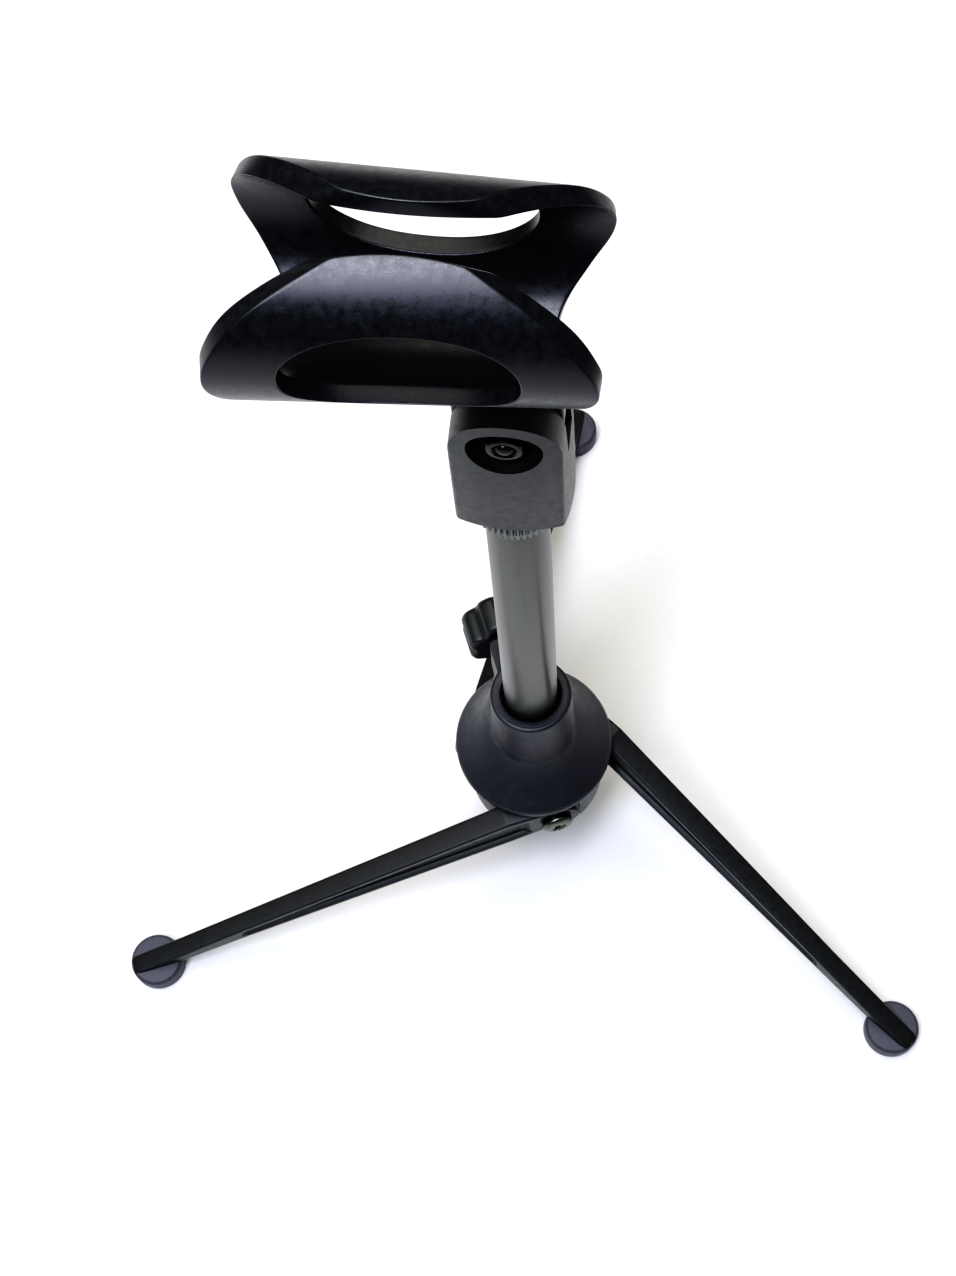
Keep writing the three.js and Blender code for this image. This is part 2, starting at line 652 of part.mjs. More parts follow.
// Half length of the cradle against the angle round from its bottom: narrow at the waist,
// widest at mid height, then sloping in to the free end.
const cradleHalf = new THREE.SplineCurve([
  new THREE.Vector2(0, 28),
  new THREE.Vector2(25, 29),
  new THREE.Vector2(55, 34.3),
  new THREE.Vector2(76, 38.1),
  new THREE.Vector2(88, CRADLE_HALF),
  new THREE.Vector2(104, 37.1),
  new THREE.Vector2(130, 29.2),
  new THREE.Vector2(ARM_ANGLE, 12.8),
]);

// A flat blank rolled up into a tapered, open-topped cradle about the X axis.
function cradleShell(around, along) {
  const blank = new THREE.BoxGeometry(2, 2, 1, along, around, 1);
  const position = blank.getAttribute("position");
  for (let i = 0; i < position.count; i++) {
    const s = position.getX(i);
    const turn = position.getY(i);
    const reach = Math.abs(turn);
    const row = cradleHalf.getPoint(reach);
    const depth = 0.5 - position.getZ(i); // 0 on the outer surface, 1 on the inner one
    const sloped = THREE.MathUtils.clamp((row.x - 85) / (150 - 85), 0, 1);
    const x = s * (row.y + CRADLE_END_SLOPE * sloped * depth);
    const extra = turn > 0 ? BACK_ARM_EXTRA * (row.x / ARM_ANGLE) ** 8 : 0;
    const wrap = extra + ARM_BOW * (1 - s * s) * reach ** 8;
    const degrees = Math.sign(turn) * (row.x + wrap);
    const angle = THREE.MathUtils.degToRad(degrees);
    const scale = 1 + (CRADLE_TAPER * x) / (CRADLE_HALF * CRADLE_R);
    const r = (CRADLE_R - CRADLE_WALL * depth) * scale;
    position.setXYZ(i, x, r * Math.sin(angle), -r * Math.cos(angle));
  }
  return solid(blank);
}

function windowOutline(steps) {
  const points = [];
  for (let i = 0; i < steps; i++) {
    const angle = (2 * Math.PI * i) / steps;
    const c = Math.cos(angle);
    const n = Math.sin(angle);
    const bend = (value) => Math.sign(value) * Math.abs(value) ** (2 / WINDOW.power);
    points.push([WINDOW.half * bend(c), WINDOW.z + WINDOW.height * bend(n)]);
  }
  return outline(points);
}

function micClip() {
  const cradle = cradleShell(40, 10)
    .subtract(slab(windowOutline(40), -30, 30))
    .translate([CRADLE_X, 0, CRADLE_Z]);

  const lugTop = CRADLE_Z - CRADLE_R + 2;
  const lugR = CHEEK_R;
  const side = new THREE.Shape();
  side.moveTo(-CRADLE_X - 28, lugTop);
  side.lineTo(-lugR - 4, lugTop);
  side.bezierCurveTo(-lugR - 0.5, lugTop - 4, -lugR, TILT_Z + 8, -lugR, TILT_Z);
  side.absarc(0, TILT_Z, lugR, Math.PI, 2 * Math.PI, false);
  side.bezierCurveTo(lugR, TILT_Z + 8, lugR - 0.5, lugTop - 8, lugR - 2.8, lugTop);
  const lug = slab(side, LUG_Y.low, LUG_Y.high, 12);
  const hole = radial(rod(TILT_SCREW_R + 0.3, -20, 20, 20), 90, TILT_Z);
  return cradle.add(lug).subtract(hole);
}
add("mic_clip", micClip(), moulded);

export default stand;
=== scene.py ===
import math

import bmesh
import bpy
from mathutils import Matrix, Vector
from mathutils.geometry import interpolate_bezier


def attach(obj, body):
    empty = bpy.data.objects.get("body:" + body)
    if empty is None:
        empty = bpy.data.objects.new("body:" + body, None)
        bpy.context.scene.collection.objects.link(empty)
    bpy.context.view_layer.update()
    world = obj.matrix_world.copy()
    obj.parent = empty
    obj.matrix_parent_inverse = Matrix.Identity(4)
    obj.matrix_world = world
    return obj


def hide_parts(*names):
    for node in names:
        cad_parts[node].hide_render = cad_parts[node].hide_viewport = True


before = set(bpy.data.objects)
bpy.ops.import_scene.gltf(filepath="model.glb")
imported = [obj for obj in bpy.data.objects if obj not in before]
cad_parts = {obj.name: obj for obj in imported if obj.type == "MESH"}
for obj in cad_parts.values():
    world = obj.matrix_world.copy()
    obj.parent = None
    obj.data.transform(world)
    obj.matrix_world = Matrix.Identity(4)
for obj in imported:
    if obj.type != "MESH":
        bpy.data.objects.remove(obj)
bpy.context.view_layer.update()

# A tabletop microphone stand. Every CAD node is replaced by a finer piece of the same size, which
# rides on the node's own body.

# ---- Sizes, in millimetres, in the frame of the CAD model ----

MM = 0.001
TABLE_Z = 0.0
CLEARANCE = 0.3  # between pieces that touch
ON_AXIS = 0.01  # radius of the ring where a turned piece closes on its axis
THROUGH = 30.0  # reach of a cutter that passes right through the clip's base

MAST_AXIS = Vector((0, -35.15, 0))
MAST_R = 8.0
MAST_BORE_R = 6.8
MAST_Z = (36.0, 229.0)

FOOT_CIRCLE_R = 140.6  # mast axis to foot centres
FOOT_R = 8.6
FOOT_H = 7.2
FOOT_EDGE = 0.9  # chamfer round a foot's top and bottom
LEG_OFFSET = 18.8  # mast axis to the line of each leg
LEG_W = 6.2  # across a leg at its tip
LEG_FLARE = 1.4  # extra width on the outer side beside the hub
LEG_FLARE_END = 0.8  # share of a leg's reach where that extra width ends
LEG_TOP_Z = 52.2
LEG_ROOT_R = 7.8  # round end about the pivot
LEG_SHOULDER = 16.0  # level stretch before the leg slopes down
LEG_POCKET_START = 8.0  # pivot to the side pockets
LEG_UNDER = 6.0  # pivot down to the line of the lower edge
LEG_END_BOTTOM = 2.2  # heights at the far edge of the foot
LEG_END_TOP = 6.9
LEG_RECESS = 1.7  # depth of the long pocket in each side
LEG_RECESS_RAMP = 2.5  # length over which a pocket reaches that depth
LEG_RAIL = 2.5  # rail left above and below the pocket
LEG_CORNER = 0.9  # radius of a leg's long edges
PIVOT_Z = LEG_TOP_Z - LEG_ROOT_R
LEG_OUTER = LEG_OFFSET + LEG_W / 2 + LEG_FLARE
LEG_REACH = math.sqrt(FOOT_CIRCLE_R ** 2 - LEG_OFFSET ** 2)  # pivot to foot centre
LEG_L = LEG_REACH + FOOT_R
LEG_POCKET_END = LEG_REACH - 30
FOOT_ANGLE = math.degrees(math.asin(LEG_OFFSET / FOOT_CIRCLE_R))
LEGS = {"back": 90, "left": 210, "right": 330}  # azimuth of each foot

PIVOT_SCREW_R = 2.5
PIVOT_HEAD_R = 5.2
PIVOT_HEAD_H = 1.9
PIVOT_INSERT_R = 3.6
PIVOT_INSERT_Y = (10.4, LEG_OFFSET - LEG_W / 2 - 0.5)
PIVOT_HEAD_SEAT = LEG_OUTER + 1.0

HUB_R = 21.6
HUB_BOTTOM_Z = 29.0
BORE_R = 8.3
SKIRT_R = 24.2
SKIRT_Z = 53.2  # underside of the skirt's rim
SLOPE_Z = SKIRT_Z + 3  # where the skirt's upright rim ends and its slope starts
FLARE_R = 24.8  # rim of the skirt's swelling under the boss
FLARE_SHIFT = 1.2  # distance of that rim's centre from the mast axis
FLARE_DRIFT = 1.7  # above 1 the swelling moves outwards mostly near its top
BODY_TOP_Z = 59.2
BODY_NECK_R = 18.0
COLLAR_R = 12.3
COLLAR_BASE_Z = 71.0
COLLAR_TOP_Z = 100.0
COVER_SCREW_CIRCLE = 14.0
COVER_SCREW_TURN = 46  # degrees back from a leg's pivot screw
COVER_SCREW_R = 1.5
COVER_SCREW_TOP = 62.0
COVER_HEAD_R = 2.7
COVER_HEAD_H = 1.6
COVER_HEAD_Z = HUB_BOTTOM_Z + 3

CLAMP_Z = 90.0
CLAMP_AZIMUTH = 112.5
FLARE_TOP_Z = CLAMP_Z - 2
BOSS_W = 15.0
BOSS_END = 20.6  # mast axis to the boss's outer face
BOSS_SQUARENESS = 14  # power of the superellipse that the boss is in plan
BOSS_GROWTH_Z = (CLAMP_Z - 11, CLAMP_Z - 6.5)  # the boss grows out of the collar between these
CLAMP_SCREW_R = 3.0
CLAMP_CORE_R = 2.6
CLAMP_PITCH = 1.0
CLAMP_TIP = 11.0  # mast axis to the end of the thumb screw
CLAMP_INSERT_R = 4.6
CLAMP_INSERT_START = 13.0  # mast axis to the bottom of the insert's hole
KNOB_R = 13.4
KNOB_START = 21.6  # mast axis to the knob's inner face
KNOB_L = 11.7
KNOB_LOBES = 8
KNOB_GROOVE = 1.9  # depth of the grooves between the lobes
KNOB_GROOVE_POWER = 1.8  # above 1 the grooves are narrower than the lobes
PAD_R = 2.95
PAD_REACH = (8.15, 10.8)  # mast axis to the pad's two ends

RING_R = 10.8
RING_Z = (229.3, 238.3)
RING_TEETH = 44
RING_TOOTH = 0.95
STUD_R = 7.7
STUD_CORE_R = STUD_R - 0.55
STUD_PITCH = 0.94  # 27 threads to the inch

BASE_Z = 238.6  # underside of the clip's base
BASE_CORNER = (12.6, 10.4)
BASE_BULGE = (14.2, 12.6)  # middles of the four bowed sides
BASE_INSERT_R = 9.6
BASE_INSERT_H = 14.0
TILT_Z = 276.0
CHEEK_R = 12.4  # round top of the two cheeks
LUG_Y = (-3.2, 4.8)  # the clip's lug between the cheeks
NUT_POCKET_R = 8.5
NUT_POCKET_DEPTH = 5.4
POCKET_FLOOR = -BASE_BULGE[1] + NUT_POCKET_DEPTH
TILT_SCREW_R = 2.5
TILT_THREAD_R = 2.45
TILT_SHANK_R = 2.1
TILT_PITCH = 0.8
TILT_HEAD_R = 4.6
TILT_HEAD_H = 2.4
TILT_WASHER_R = 5.4
NUT_ACROSS = 8.0
NUT_H = 3.2
NUT_BORE_R = 2.62
TILT_BORE_REACH = 20.0  # half length of its hole's cutter

CRADLE_X = -17.7  # middle of the cradle
CRADLE_Z = 320.5  # axis of the microphone
CRADLE_R = 22.9  # outer radius at the middle
CRADLE_TAPER = -1.5  # change of that radius from the middle to the +X end
CRADLE_WALL = 3.9
CRADLE_HALF = 38.9  # half length at the widest
CRADLE_END_SLOPE = 5.5  # how far the inner surface outreaches the outer one at the free ends
CRADLE_SLOPE_ANGLES = (85, 150)  # degrees over which that slope comes in
ARM_ANGLE = 159.5  # corners of the free ends, degrees round from the bottom
ARM_BOW = 4.0  # further degrees at the middle of each free end
BACK_ARM_EXTRA = 3.0  # the back arm wraps round this many degrees further
WINDOW_HALF = 23.7  # half width of the superellipse in each arm
WINDOW_HEIGHT = 11.7
WINDOW_Z = 0.75
WINDOW_POWER = 2.3

# ---- Camera ----

CAMERA_AT = Vector((0.0346, -0.24495, 0.6556))
CAMERA_HEADING = math.radians(13)
CAMERA_PITCH = math.radians(67.32)
CAMERA_ROLL = math.radians(-7.66)
CAMERA_LENS = 56.0


def make_camera():
    heading = Vector((-math.sin(CAMERA_HEADING), math.cos(CAMERA_HEADING), 0))
    down = Vector((0, 0, -1))
    forward = heading * math.cos(CAMERA_PITCH) + down * math.sin(CAMERA_PITCH)
    level = Vector((math.cos(CAMERA_HEADING), math.sin(CAMERA_HEADING), 0))
    above = level.cross(forward)
    right = level * math.cos(CAMERA_ROLL) + above * math.sin(CAMERA_ROLL)
    up = right.cross(forward)
    data = bpy.data.cameras.new("camera")
    data.sensor_width = 36
    data.lens = CAMERA_LENS
    data.clip_start = 0.01
    data.clip_end = 20
    camera = bpy.data.objects.new("camera", data)
    bpy.context.scene.collection.objects.link(camera)
    axes = Matrix((right, up, -forward)).transposed()
    camera.matrix_world = Matrix.Translation(CAMERA_AT) @ axes.to_4x4()
    bpy.context.scene.camera = camera


# ---- Mesh helpers ----

def smoothstep(x, low, high):
    t = min(1.0, max(0.0, (x - low) / (high - low)))
    return t * t * (3 - 2 * t)


def lerp(a, b, t):
    return a + (b - a) * t


def rounded(points, radius, steps=4):
    """A closed outline with its corners turned into arcs. radius is one number, or one for each
    corner, where 0 leaves the corner as it is."""
    points = [Vector(p) for p in points]
    count = len(points)
    radii = [radius] * count if isinstance(radius, (int, float)) else radius
    out = []
    for i, point in enumerate(points):
        to_last = points[i - 1] - point
        to_next = points[(i + 1) % count] - point
        if radii[i] == 0 or to_last.angle(to_next) > math.pi - 0.05:
            out.append(point)
            continue
        half = to_last.angle(to_next) / 2
        reach = min(radii[i] / math.tan(half), to_last.length * 0.49, to_next.length * 0.49)
        r = reach * math.tan(half)
        middle = (to_last.normalized() + to_next.normalized()).normalized()
        centre = point + middle * (r / math.sin(half))
        start = (point + to_last.normalized() * reach - centre).normalized()
        end = (point + to_next.normalized() * reach - centre).normalized()
        out += [centre + start.slerp(end, k / steps) * r for k in range(steps + 1)]
    return out


def new_object(name, points, faces, sharp=40.0):
    """A smooth-shaded object from points in millimetres, creased where faces meet sharply."""
    mesh = bpy.data.meshes.new(name)
    mesh.from_pydata([tuple(Vector(p) * MM) for p in points], [], faces)
    work = bmesh.new()
    work.from_mesh(mesh)
    bmesh.ops.remove_doubles(work, verts=work.verts, dist=1e-7)
    bmesh.ops.recalc_face_normals(work, faces=work.faces)
    work.to_mesh(mesh)
    work.free()
    mesh.shade_smooth()
    mesh.set_sharp_from_angle(angle=math.radians(sharp))
    made = bpy.data.objects.new(name, mesh)
    bpy.context.scene.collection.objects.link(made)
    return made


def rings(name, rows, loop=False, sharp=40.0):
    """A closed skin through rings of points. loop joins the last ring to the first; otherwise
    both ends are closed by a flat face."""
    width = len(rows[0])
    points = [p for row in rows for p in row]
    faces = []
    for i in range(len(rows) if loop else len(rows) - 1):
        low = i * width
        high = (i + 1) % len(rows) * width
        for j in range(width):
            k = (j + 1) % width
            faces.append((low + j, low + k, high + k, high + j))
    if not loop:
        faces.append(tuple(reversed(range(width))))
        faces.append(tuple(range(len(points) - width, len(points))))
    return new_object(name, points, faces, sharp)


def circle(radius, z, segments):
    """A ring about Z. radius is a number, or a function of the azimuth in radians."""
    out = []
    for i in range(segments):
        angle = 2 * math.pi * i / segments
        r = radius(angle) if callable(radius) else radius
        out.append(Vector((r * math.cos(angle), r * math.sin(angle), z)))
    return out


def lathe(name, profile, segments=96, loop=False):
    """A piece turned about Z from a profile of (radius, z) points."""
    return rings(name, [circle(r, z, segments) for r, z in profile], loop)


def rounded_lathe(name, outline, radius, steps=3, segments=96, loop=False):
    """A turned piece from a profile whose corners are rounded."""
    return lathe(name, [tuple(p) for p in rounded(outline, radius, steps)], segments, loop)


def tube(name, inner, outer, z0, z1, edge=0.25, segments=72):
    """A ring with rounded edges."""
    corners = [(inner, z0), (outer, z0), (outer, z1), (inner, z1)]
    return rounded_lathe(name, corners, edge, 3, segments, loop=True)


def prism(name, outline, z0, z1, edge):
    """An outline in XY with rounded rims, between two heights."""
    steps = 3
    outline = [Vector(p) for p in outline]
    count = len(outline)
    inward = []
    for i, point in enumerate(outline):
        along = (outline[(i + 1) % count] - outline[i - 1]).normalized()
        inward.append(Vector((-along.y, along.x)))
    levels = []
    for k in range(steps + 1):
        angle = math.pi / 2 * k / steps
        levels.append((edge * (1 - math.sin(angle)), z0 + edge * (1 - math.cos(angle))))
    levels += [(inset, z0 + z1 - z) for inset, z in reversed(levels)]
    rows = [[(p + n * inset).to_3d() + Vector((0, 0, z)) for p, n in zip(outline, inward)]
            for inset, z in levels]
    return rings(name, rows)


def box(name, low, high):
    (x0, y0, z0), (x1, y1, z1) = low, high
    corners = [(x, y, z) for z in (z0, z1) for x, y in ((x0, y0), (x1, y0), (x1, y1), (x0, y1))]
    return rings(name, [[Vector(p) for p in corners[:4]], [Vector(p) for p in corners[4:]]])


def transform(made, matrix):
    """Turns and moves a mesh in place; the matrix is in millimetres."""
    moved = matrix.copy()
    moved.translation = matrix.translation * MM
    made.data.transform(moved)
    return made


def turn(degrees, axis):
    return Matrix.Rotation(math.radians(degrees), 4, axis)


def shift(x, y, z):
    return Matrix.Translation(Vector((x, y, z)))


def evaluated(made):
    """Bakes an object's modifiers into its mesh."""
    graph = bpy.context.evaluated_depsgraph_get()
    mesh = bpy.data.meshes.new_from_object(made.evaluated_get(graph))
    made.modifiers.clear()
    made.data = mesh
    return made


def carve(made, cutters, operation="DIFFERENCE"):
    """Cuts a piece by each cutter in turn, and removes the cutters."""
    for cutter in cutters:
        modifier = made.modifiers.new("cut", "BOOLEAN")
        modifier.operation = operation
        modifier.solver = "EXACT"
        modifier.object = cutter
        bpy.context.view_layer.update()
        evaluated(made)
        bpy.data.objects.remove(cutter)
    return made


def soften(made, width):
    """Rounds an object's sharp edges."""
    modifier = made.modifiers.new("edge", "BEVEL")
    modifier.width = width * MM
    modifier.segments = 3
    modifier.limit_method = "ANGLE"
    modifier.angle_limit = math.radians(35)
    modifier.harden_normals = True
    made.data.shade_smooth()
    return made


# Places round a mast at the origin, for pieces built along +Z, or along a leg's +X in leg_turn.
CLAMP_PLACE = turn(CLAMP_AZIMUTH, "Z") @ shift(0, 0, CLAMP_Z) @ turn(90, "Y")
TILT_PLACE = shift(0, 0, TILT_Z) @ turn(-90, "X")


def leg_turn(azimuth):
    return turn(azimuth - FOOT_ANGLE, "Z")


def pivot_place(azimuth):
    return leg_turn(azimuth) @ shift(0, 0, PIVOT_Z) @ turn(-90, "X")


def at_mast(made, place=Matrix.Identity(4)):
    """Puts a piece in its place beside the mast, and moves it to where the mast stands."""
    return transform(made, Matrix.Translation(MAST_AXIS) @ place)


# ---- Materials ----

class Finish:
    """A material with the few nodes that every finish here is made from."""

    def __init__(self, name, **values):
        self.material = bpy.data.materials.new(name)
        self.material.use_nodes = True
        self.nodes = self.material.node_tree.nodes
        self.links = self.material.node_tree.links
        self.shader = self.nodes["Principled BSDF"]
        for socket, value in values.items():
            self.shader.inputs[socket.replace("_", " ")].default_value = value
        self.coordinates = self.nodes.new("ShaderNodeTexCoord").outputs["Object"]

    def noise(self, size_mm, detail, stretch=(1, 1, 1)):
        mapping = self.nodes.new("ShaderNodeMapping")
        mapping.inputs["Scale"].default_value = stretch
        self.links.new(self.coordinates, mapping.inputs["Vector"])
        made = self.nodes.new("ShaderNodeTexNoise")
        made.inputs["Scale"].default_value = 1 / (size_mm * MM)
        made.inputs["Detail"].default_value = detail
        self.links.new(mapping.outputs["Vector"], made.inputs["Vector"])
        return made.outputs["Fac"]

    def spread(self, value, low, high, start=0.3, end=0.7):
        """Maps a value from start..end to low..high."""
        made = self.nodes.new("ShaderNodeMapRange")
        made.inputs["From Min"].default_value = start
        made.inputs["From Max"].default_value = end
        made.inputs["To Min"].default_value = low
        made.inputs["To Max"].default_value = high
        self.links.new(value, made.inputs["Value"])
        return made.outputs["Result"]

    def blend(self, first, second, share):
        made = self.nodes.new("ShaderNodeMix")
        made.inputs["Factor"].default_value = share
        self.links.new(first, made.inputs["A"])
        self.links.new(second, made.inputs["B"])
        return made.outputs["Result"]

    def colours(self, value, stops):
        """Colours the surface by a value, from stops of (position, colour)."""
        made = self.nodes.new("ShaderNodeValToRGB")
        ramp = made.color_ramp
        while len(ramp.elements) < len(stops):
            ramp.elements.new(0.5)
        for element, (position, colour) in zip(ramp.elements, stops):
            element.position = position
            element.color = (*colour, 1)
        self.links.new(value, made.inputs["Fac"])
        self.links.new(made.outputs["Color"], self.shader.inputs["Base Color"])

    def roughness(self, value):
        self.links.new(value, self.shader.inputs["Roughness"])

    def bump(self, value, depth_mm):
        made = self.nodes.new("ShaderNodeBump")
        made.inputs["Strength"].default_value = 1.0
        made.inputs["Distance"].default_value = depth_mm * MM
        self.links.new(value, made.inputs["Height"])
        self.links.new(made.outputs["Normal"], self.shader.inputs["Normal"])


def plastic(name, dark, light, rough, grain_mm=0.35, depth_mm=0.012, cloud_mm=1.8, **values):
    """Moulded plastic with a fine spark-eroded grain and cloudy variations of colour and gloss.
    rough is the range of its roughness."""
    made = Finish(name, **values)
    grain = made.noise(grain_mm, 2.0)
    clouds = made.noise(cloud_mm, 4.0)
    both = made.blend(grain, clouds, 0.55)
    middle = tuple(lerp(a, b, 0.45) for a, b in zip(dark, light))
    made.colours(both, [(0.3, dark), (0.5, middle), (0.7, light)])
    made.roughness(made.spread(both, rough[0], rough[1], 0.35, 0.65))
    made.bump(both, depth_mm)
    return made.material


def turned_metal(name, dark, light, rough):
    """Metal with fine tool marks across one axis, and faint stains."""
    made = Finish(name, Metallic=1.0)
    marks = made.noise(0.9, 4.0, (1, 1, 12))
    stains = made.noise(3.0, 3.0)
    made.colours(made.blend(marks, stains, 0.5), [(0.3, dark), (0.7, light)])
    made.roughness(made.spread(marks, rough[0], rough[1]))
    made.bump(marks, 0.004)
    return made.material


def painted_tube(name):
    """Grey metallic paint with faint streaks along the tube and a very fine sparkle."""
    made = Finish(name, Metallic=0.55, Coat_Weight=0.15, Coat_Roughness=0.25)
    drawn = made.noise(0.8, 2.0, (1, 1, 0.04))
    sparkle = made.noise(0.12, 1.0)
    both = made.blend(drawn, sparkle, 0.6)
    made.colours(both, [(0.3, (0.055, 0.057, 0.048)), (0.7, (0.09, 0.093, 0.08))])
    made.roughness(made.spread(both, 0.3, 0.4))
    made.bump(both, 0.002)
    return made.material


CLIP_BLACK = plastic(
    "clip_black", (0.001, 0.0015, 0.002), (0.013, 0.014, 0.019), (0.25, 0.4),
    grain_mm=0.3, depth_mm=0.011, Specular_IOR_Level=0.45,
)
BASE_GREY = plastic(
    "base_grey", (0.009, 0.01, 0.009), (0.022, 0.024, 0.021), (0.36, 0.5),
    grain_mm=0.3, depth_mm=0.02, Specular_IOR_Level=0.4,
)
HUB_BLACK = plastic(
    "hub_black", (0.007, 0.008, 0.012), (0.014, 0.016, 0.023), (0.4, 0.56),
    grain_mm=0.28, depth_mm=0.02, cloud_mm=2.5, Specular_IOR_Level=0.6,
)
LEG_BLACK = plastic("leg_black", (0.005, 0.006, 0.006), (0.011, 0.013, 0.013), (0.4, 0.52))
KNOB_BLACK = plastic("knob_black", (0.009, 0.011, 0.011), (0.02, 0.022, 0.022), (0.38, 0.5))
FOOT_RUBBER = plastic(
    "foot_rubber", (0.034, 0.034, 0.044), (0.066, 0.066, 0.084), (0.5, 0.65),
    grain_mm=0.4, depth_mm=0.03,
)
PAD_NYLON = plastic("pad_nylon", (0.72, 0.7, 0.64), (0.82, 0.81, 0.76), (0.4, 0.55))
MAST_PAINT = painted_tube("mast_paint")
SCREW_STEEL = turned_metal("screw_steel", (0.42, 0.43, 0.44), (0.66, 0.67, 0.68), (0.2, 0.34))
DARK_STEEL = turned_metal("dark_steel", (0.015, 0.016, 0.015), (0.05, 0.053, 0.048), (0.2, 0.34))
PIVOT_STEEL = turned_metal("pivot_steel", (0.06, 0.066, 0.056), (0.17, 0.18, 0.155), (0.25, 0.4))
RING_STEEL = turned_metal("ring_steel", (0.07, 0.075, 0.07), (0.16, 0.17, 0.16), (0.3, 0.45))
BRASS = turned_metal("brass", (0.5, 0.36, 0.13), (0.78, 0.6, 0.28), (0.22, 0.38))


def finish(made, material, body, slot_name, *nodes):
    """Gives a piece its material, its body and the CAD nodes it stands for. slot_name is not used.
    """
    made.data.materials.clear()
    made.data.materials.append(material)
    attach(made, body)
    if nodes:
        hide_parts(*nodes)
    return made


# ---- Screws and threads ----

def threaded(name, core_r, outer_r, pitch, z0, z1, segments=40):
    """A rod with a real helical thread, rounded off at its ends."""
    rows = []
    count = int((z1 - z0) / pitch * 6)
    for i in range(count + 1):
        z = lerp(z0, z1, i / count)
        fade = smoothstep(z, z0, z0 + pitch) * (1 - smoothstep(z, z1 - pitch, z1))

        def radius(angle, z=z, fade=fade):
            wave = abs(2 * ((z / pitch - angle / (2 * math.pi)) % 1.0) - 1)
            return lerp(core_r, outer_r, wave * fade)

        rows.append(circle(radius, z, segments))
    return rings(name, rows, sharp=60.0)


def pan_screw(name, shank_r, head_r, head_h, z0, z1):
    """A pan-head cross screw along +Z: its shank from z0 to z1, its head above."""
    dome = [(ON_AXIS, head_h), (head_r * 0.35, head_h * 0.99), (head_r * 0.62, head_h * 0.93),
            (head_r * 0.82, head_h * 0.78), (head_r * 0.95, head_h * 0.52), (head_r, head_h * 0.2)]
    profile = [(r, z1 + h) for r, h in dome]
    profile += [(head_r * 0.985, z1 + 0.05), (head_r * 0.95, z1), (shank_r, z1)]
    profile += [(shank_r, z0 + 0.5), (shank_r - 0.4, z0), (ON_AXIS, z0)]
    screw = lathe(name, list(reversed(profile)), 72)
    size = head_r * 0.6
    slots = []
    for degrees in (0, 90):
        rows = []
        for h, half, wide in ((head_h * 0.25, size * 0.5, 0.16), (head_h + 1, size, 0.24)):
            w = head_r * wide
            corners = rounded([(-half, -w), (half, -w), (half, w), (-half, w)], w * 0.5, 3)
            rows.append([p.to_3d() + Vector((0, 0, z1 + h)) for p in corners])
        slots.append(transform(rings("slot", rows), turn(degrees + 20, "Z")))
    return carve(screw, slots)


# ---- Legs and feet ----

def root_rise(x):
    """Half the height of the round end at a distance from the pivot."""
    return math.sqrt(max(0.0, LEG_ROOT_R ** 2 - x * x))


def leg_top(x):
    """Round behind the pivot, level as far as the shoulder, then straight down to the foot."""
    if x < 0:
        return PIVOT_Z + root_rise(x)
    return lerp(LEG_TOP_Z, LEG_END_TOP, max(0.0, (x - LEG_SHOULDER) / (LEG_L - LEG_SHOULDER)))


def leg_bottom(x):
    """Round behind the pivot and just in front of it, then straight down to the foot."""
    round_end = PIVOT_Z - root_rise(x)
    line = lerp(PIVOT_Z - LEG_UNDER, LEG_END_BOTTOM, x / LEG_L)
    return min(line, round_end) if x > 0 else round_end


def leg_outer(x):
    """The outer face flares beside the hub and runs straight at the tip."""
    end = LEG_REACH * LEG_FLARE_END
    widen = min(1.0, max(0.0, (end - x) / (end - LEG_SHOULDER)))
    return LEG_OFFSET + LEG_W / 2 + LEG_FLARE * widen


def leg_section(x, shrink=0.0):
    """A leg's outline across x: a bar with a long shallow pocket in each side."""
    low, high = leg_bottom(x) + shrink, leg_top(x) - shrink
    inner, outer = LEG_OFFSET - LEG_W / 2 + shrink, leg_outer(x) - shrink
    ramp_in = smoothstep(x, LEG_POCKET_START, LEG_POCKET_START + LEG_RECESS_RAMP)
    ramp_out = 1 - smoothstep(x, LEG_POCKET_END - LEG_RECESS_RAMP, LEG_POCKET_END)
    depth = LEG_RECESS * ramp_in * ramp_out
    middle = (low + high) / 2
    rail_low = min(low + LEG_RAIL, middle - 0.35)
    rail_high = max(high - LEG_RAIL, middle + 0.35)
    corner = min(LEG_CORNER, (high - low) * 0.3)
    ease = min(0.35, (rail_high - rail_low) * 0.3)

    def side(y, sign):
        """Up one side, from the bottom corner to the top one."""
        arc = [math.pi / 2 * k / 4 for k in range(5)]
        points = [(y - sign * corner * (1 - math.sin(a)), low + corner * (1 - math.cos(a)))
                  for a in arc]
        floor = y - sign * depth
        points += [(y, rail_low - ease), (lerp(y, floor, 0.15), rail_low),
                   (lerp(y, floor, 0.85), rail_low + ease * 0.4), (floor, rail_low + ease)]
        points += [(floor, rail_high - ease), (lerp(y, floor, 0.85), rail_high - ease * 0.4),
                   (lerp(y, floor, 0.15), rail_high), (y, rail_high + ease)]
        points += [(y - sign * corner * (1 - math.sin(a)), high - corner * (1 - math.cos(a)))
                   for a in reversed(arc)]
        return points

    return side(outer, 1) + list(reversed(side(inner, -1)))


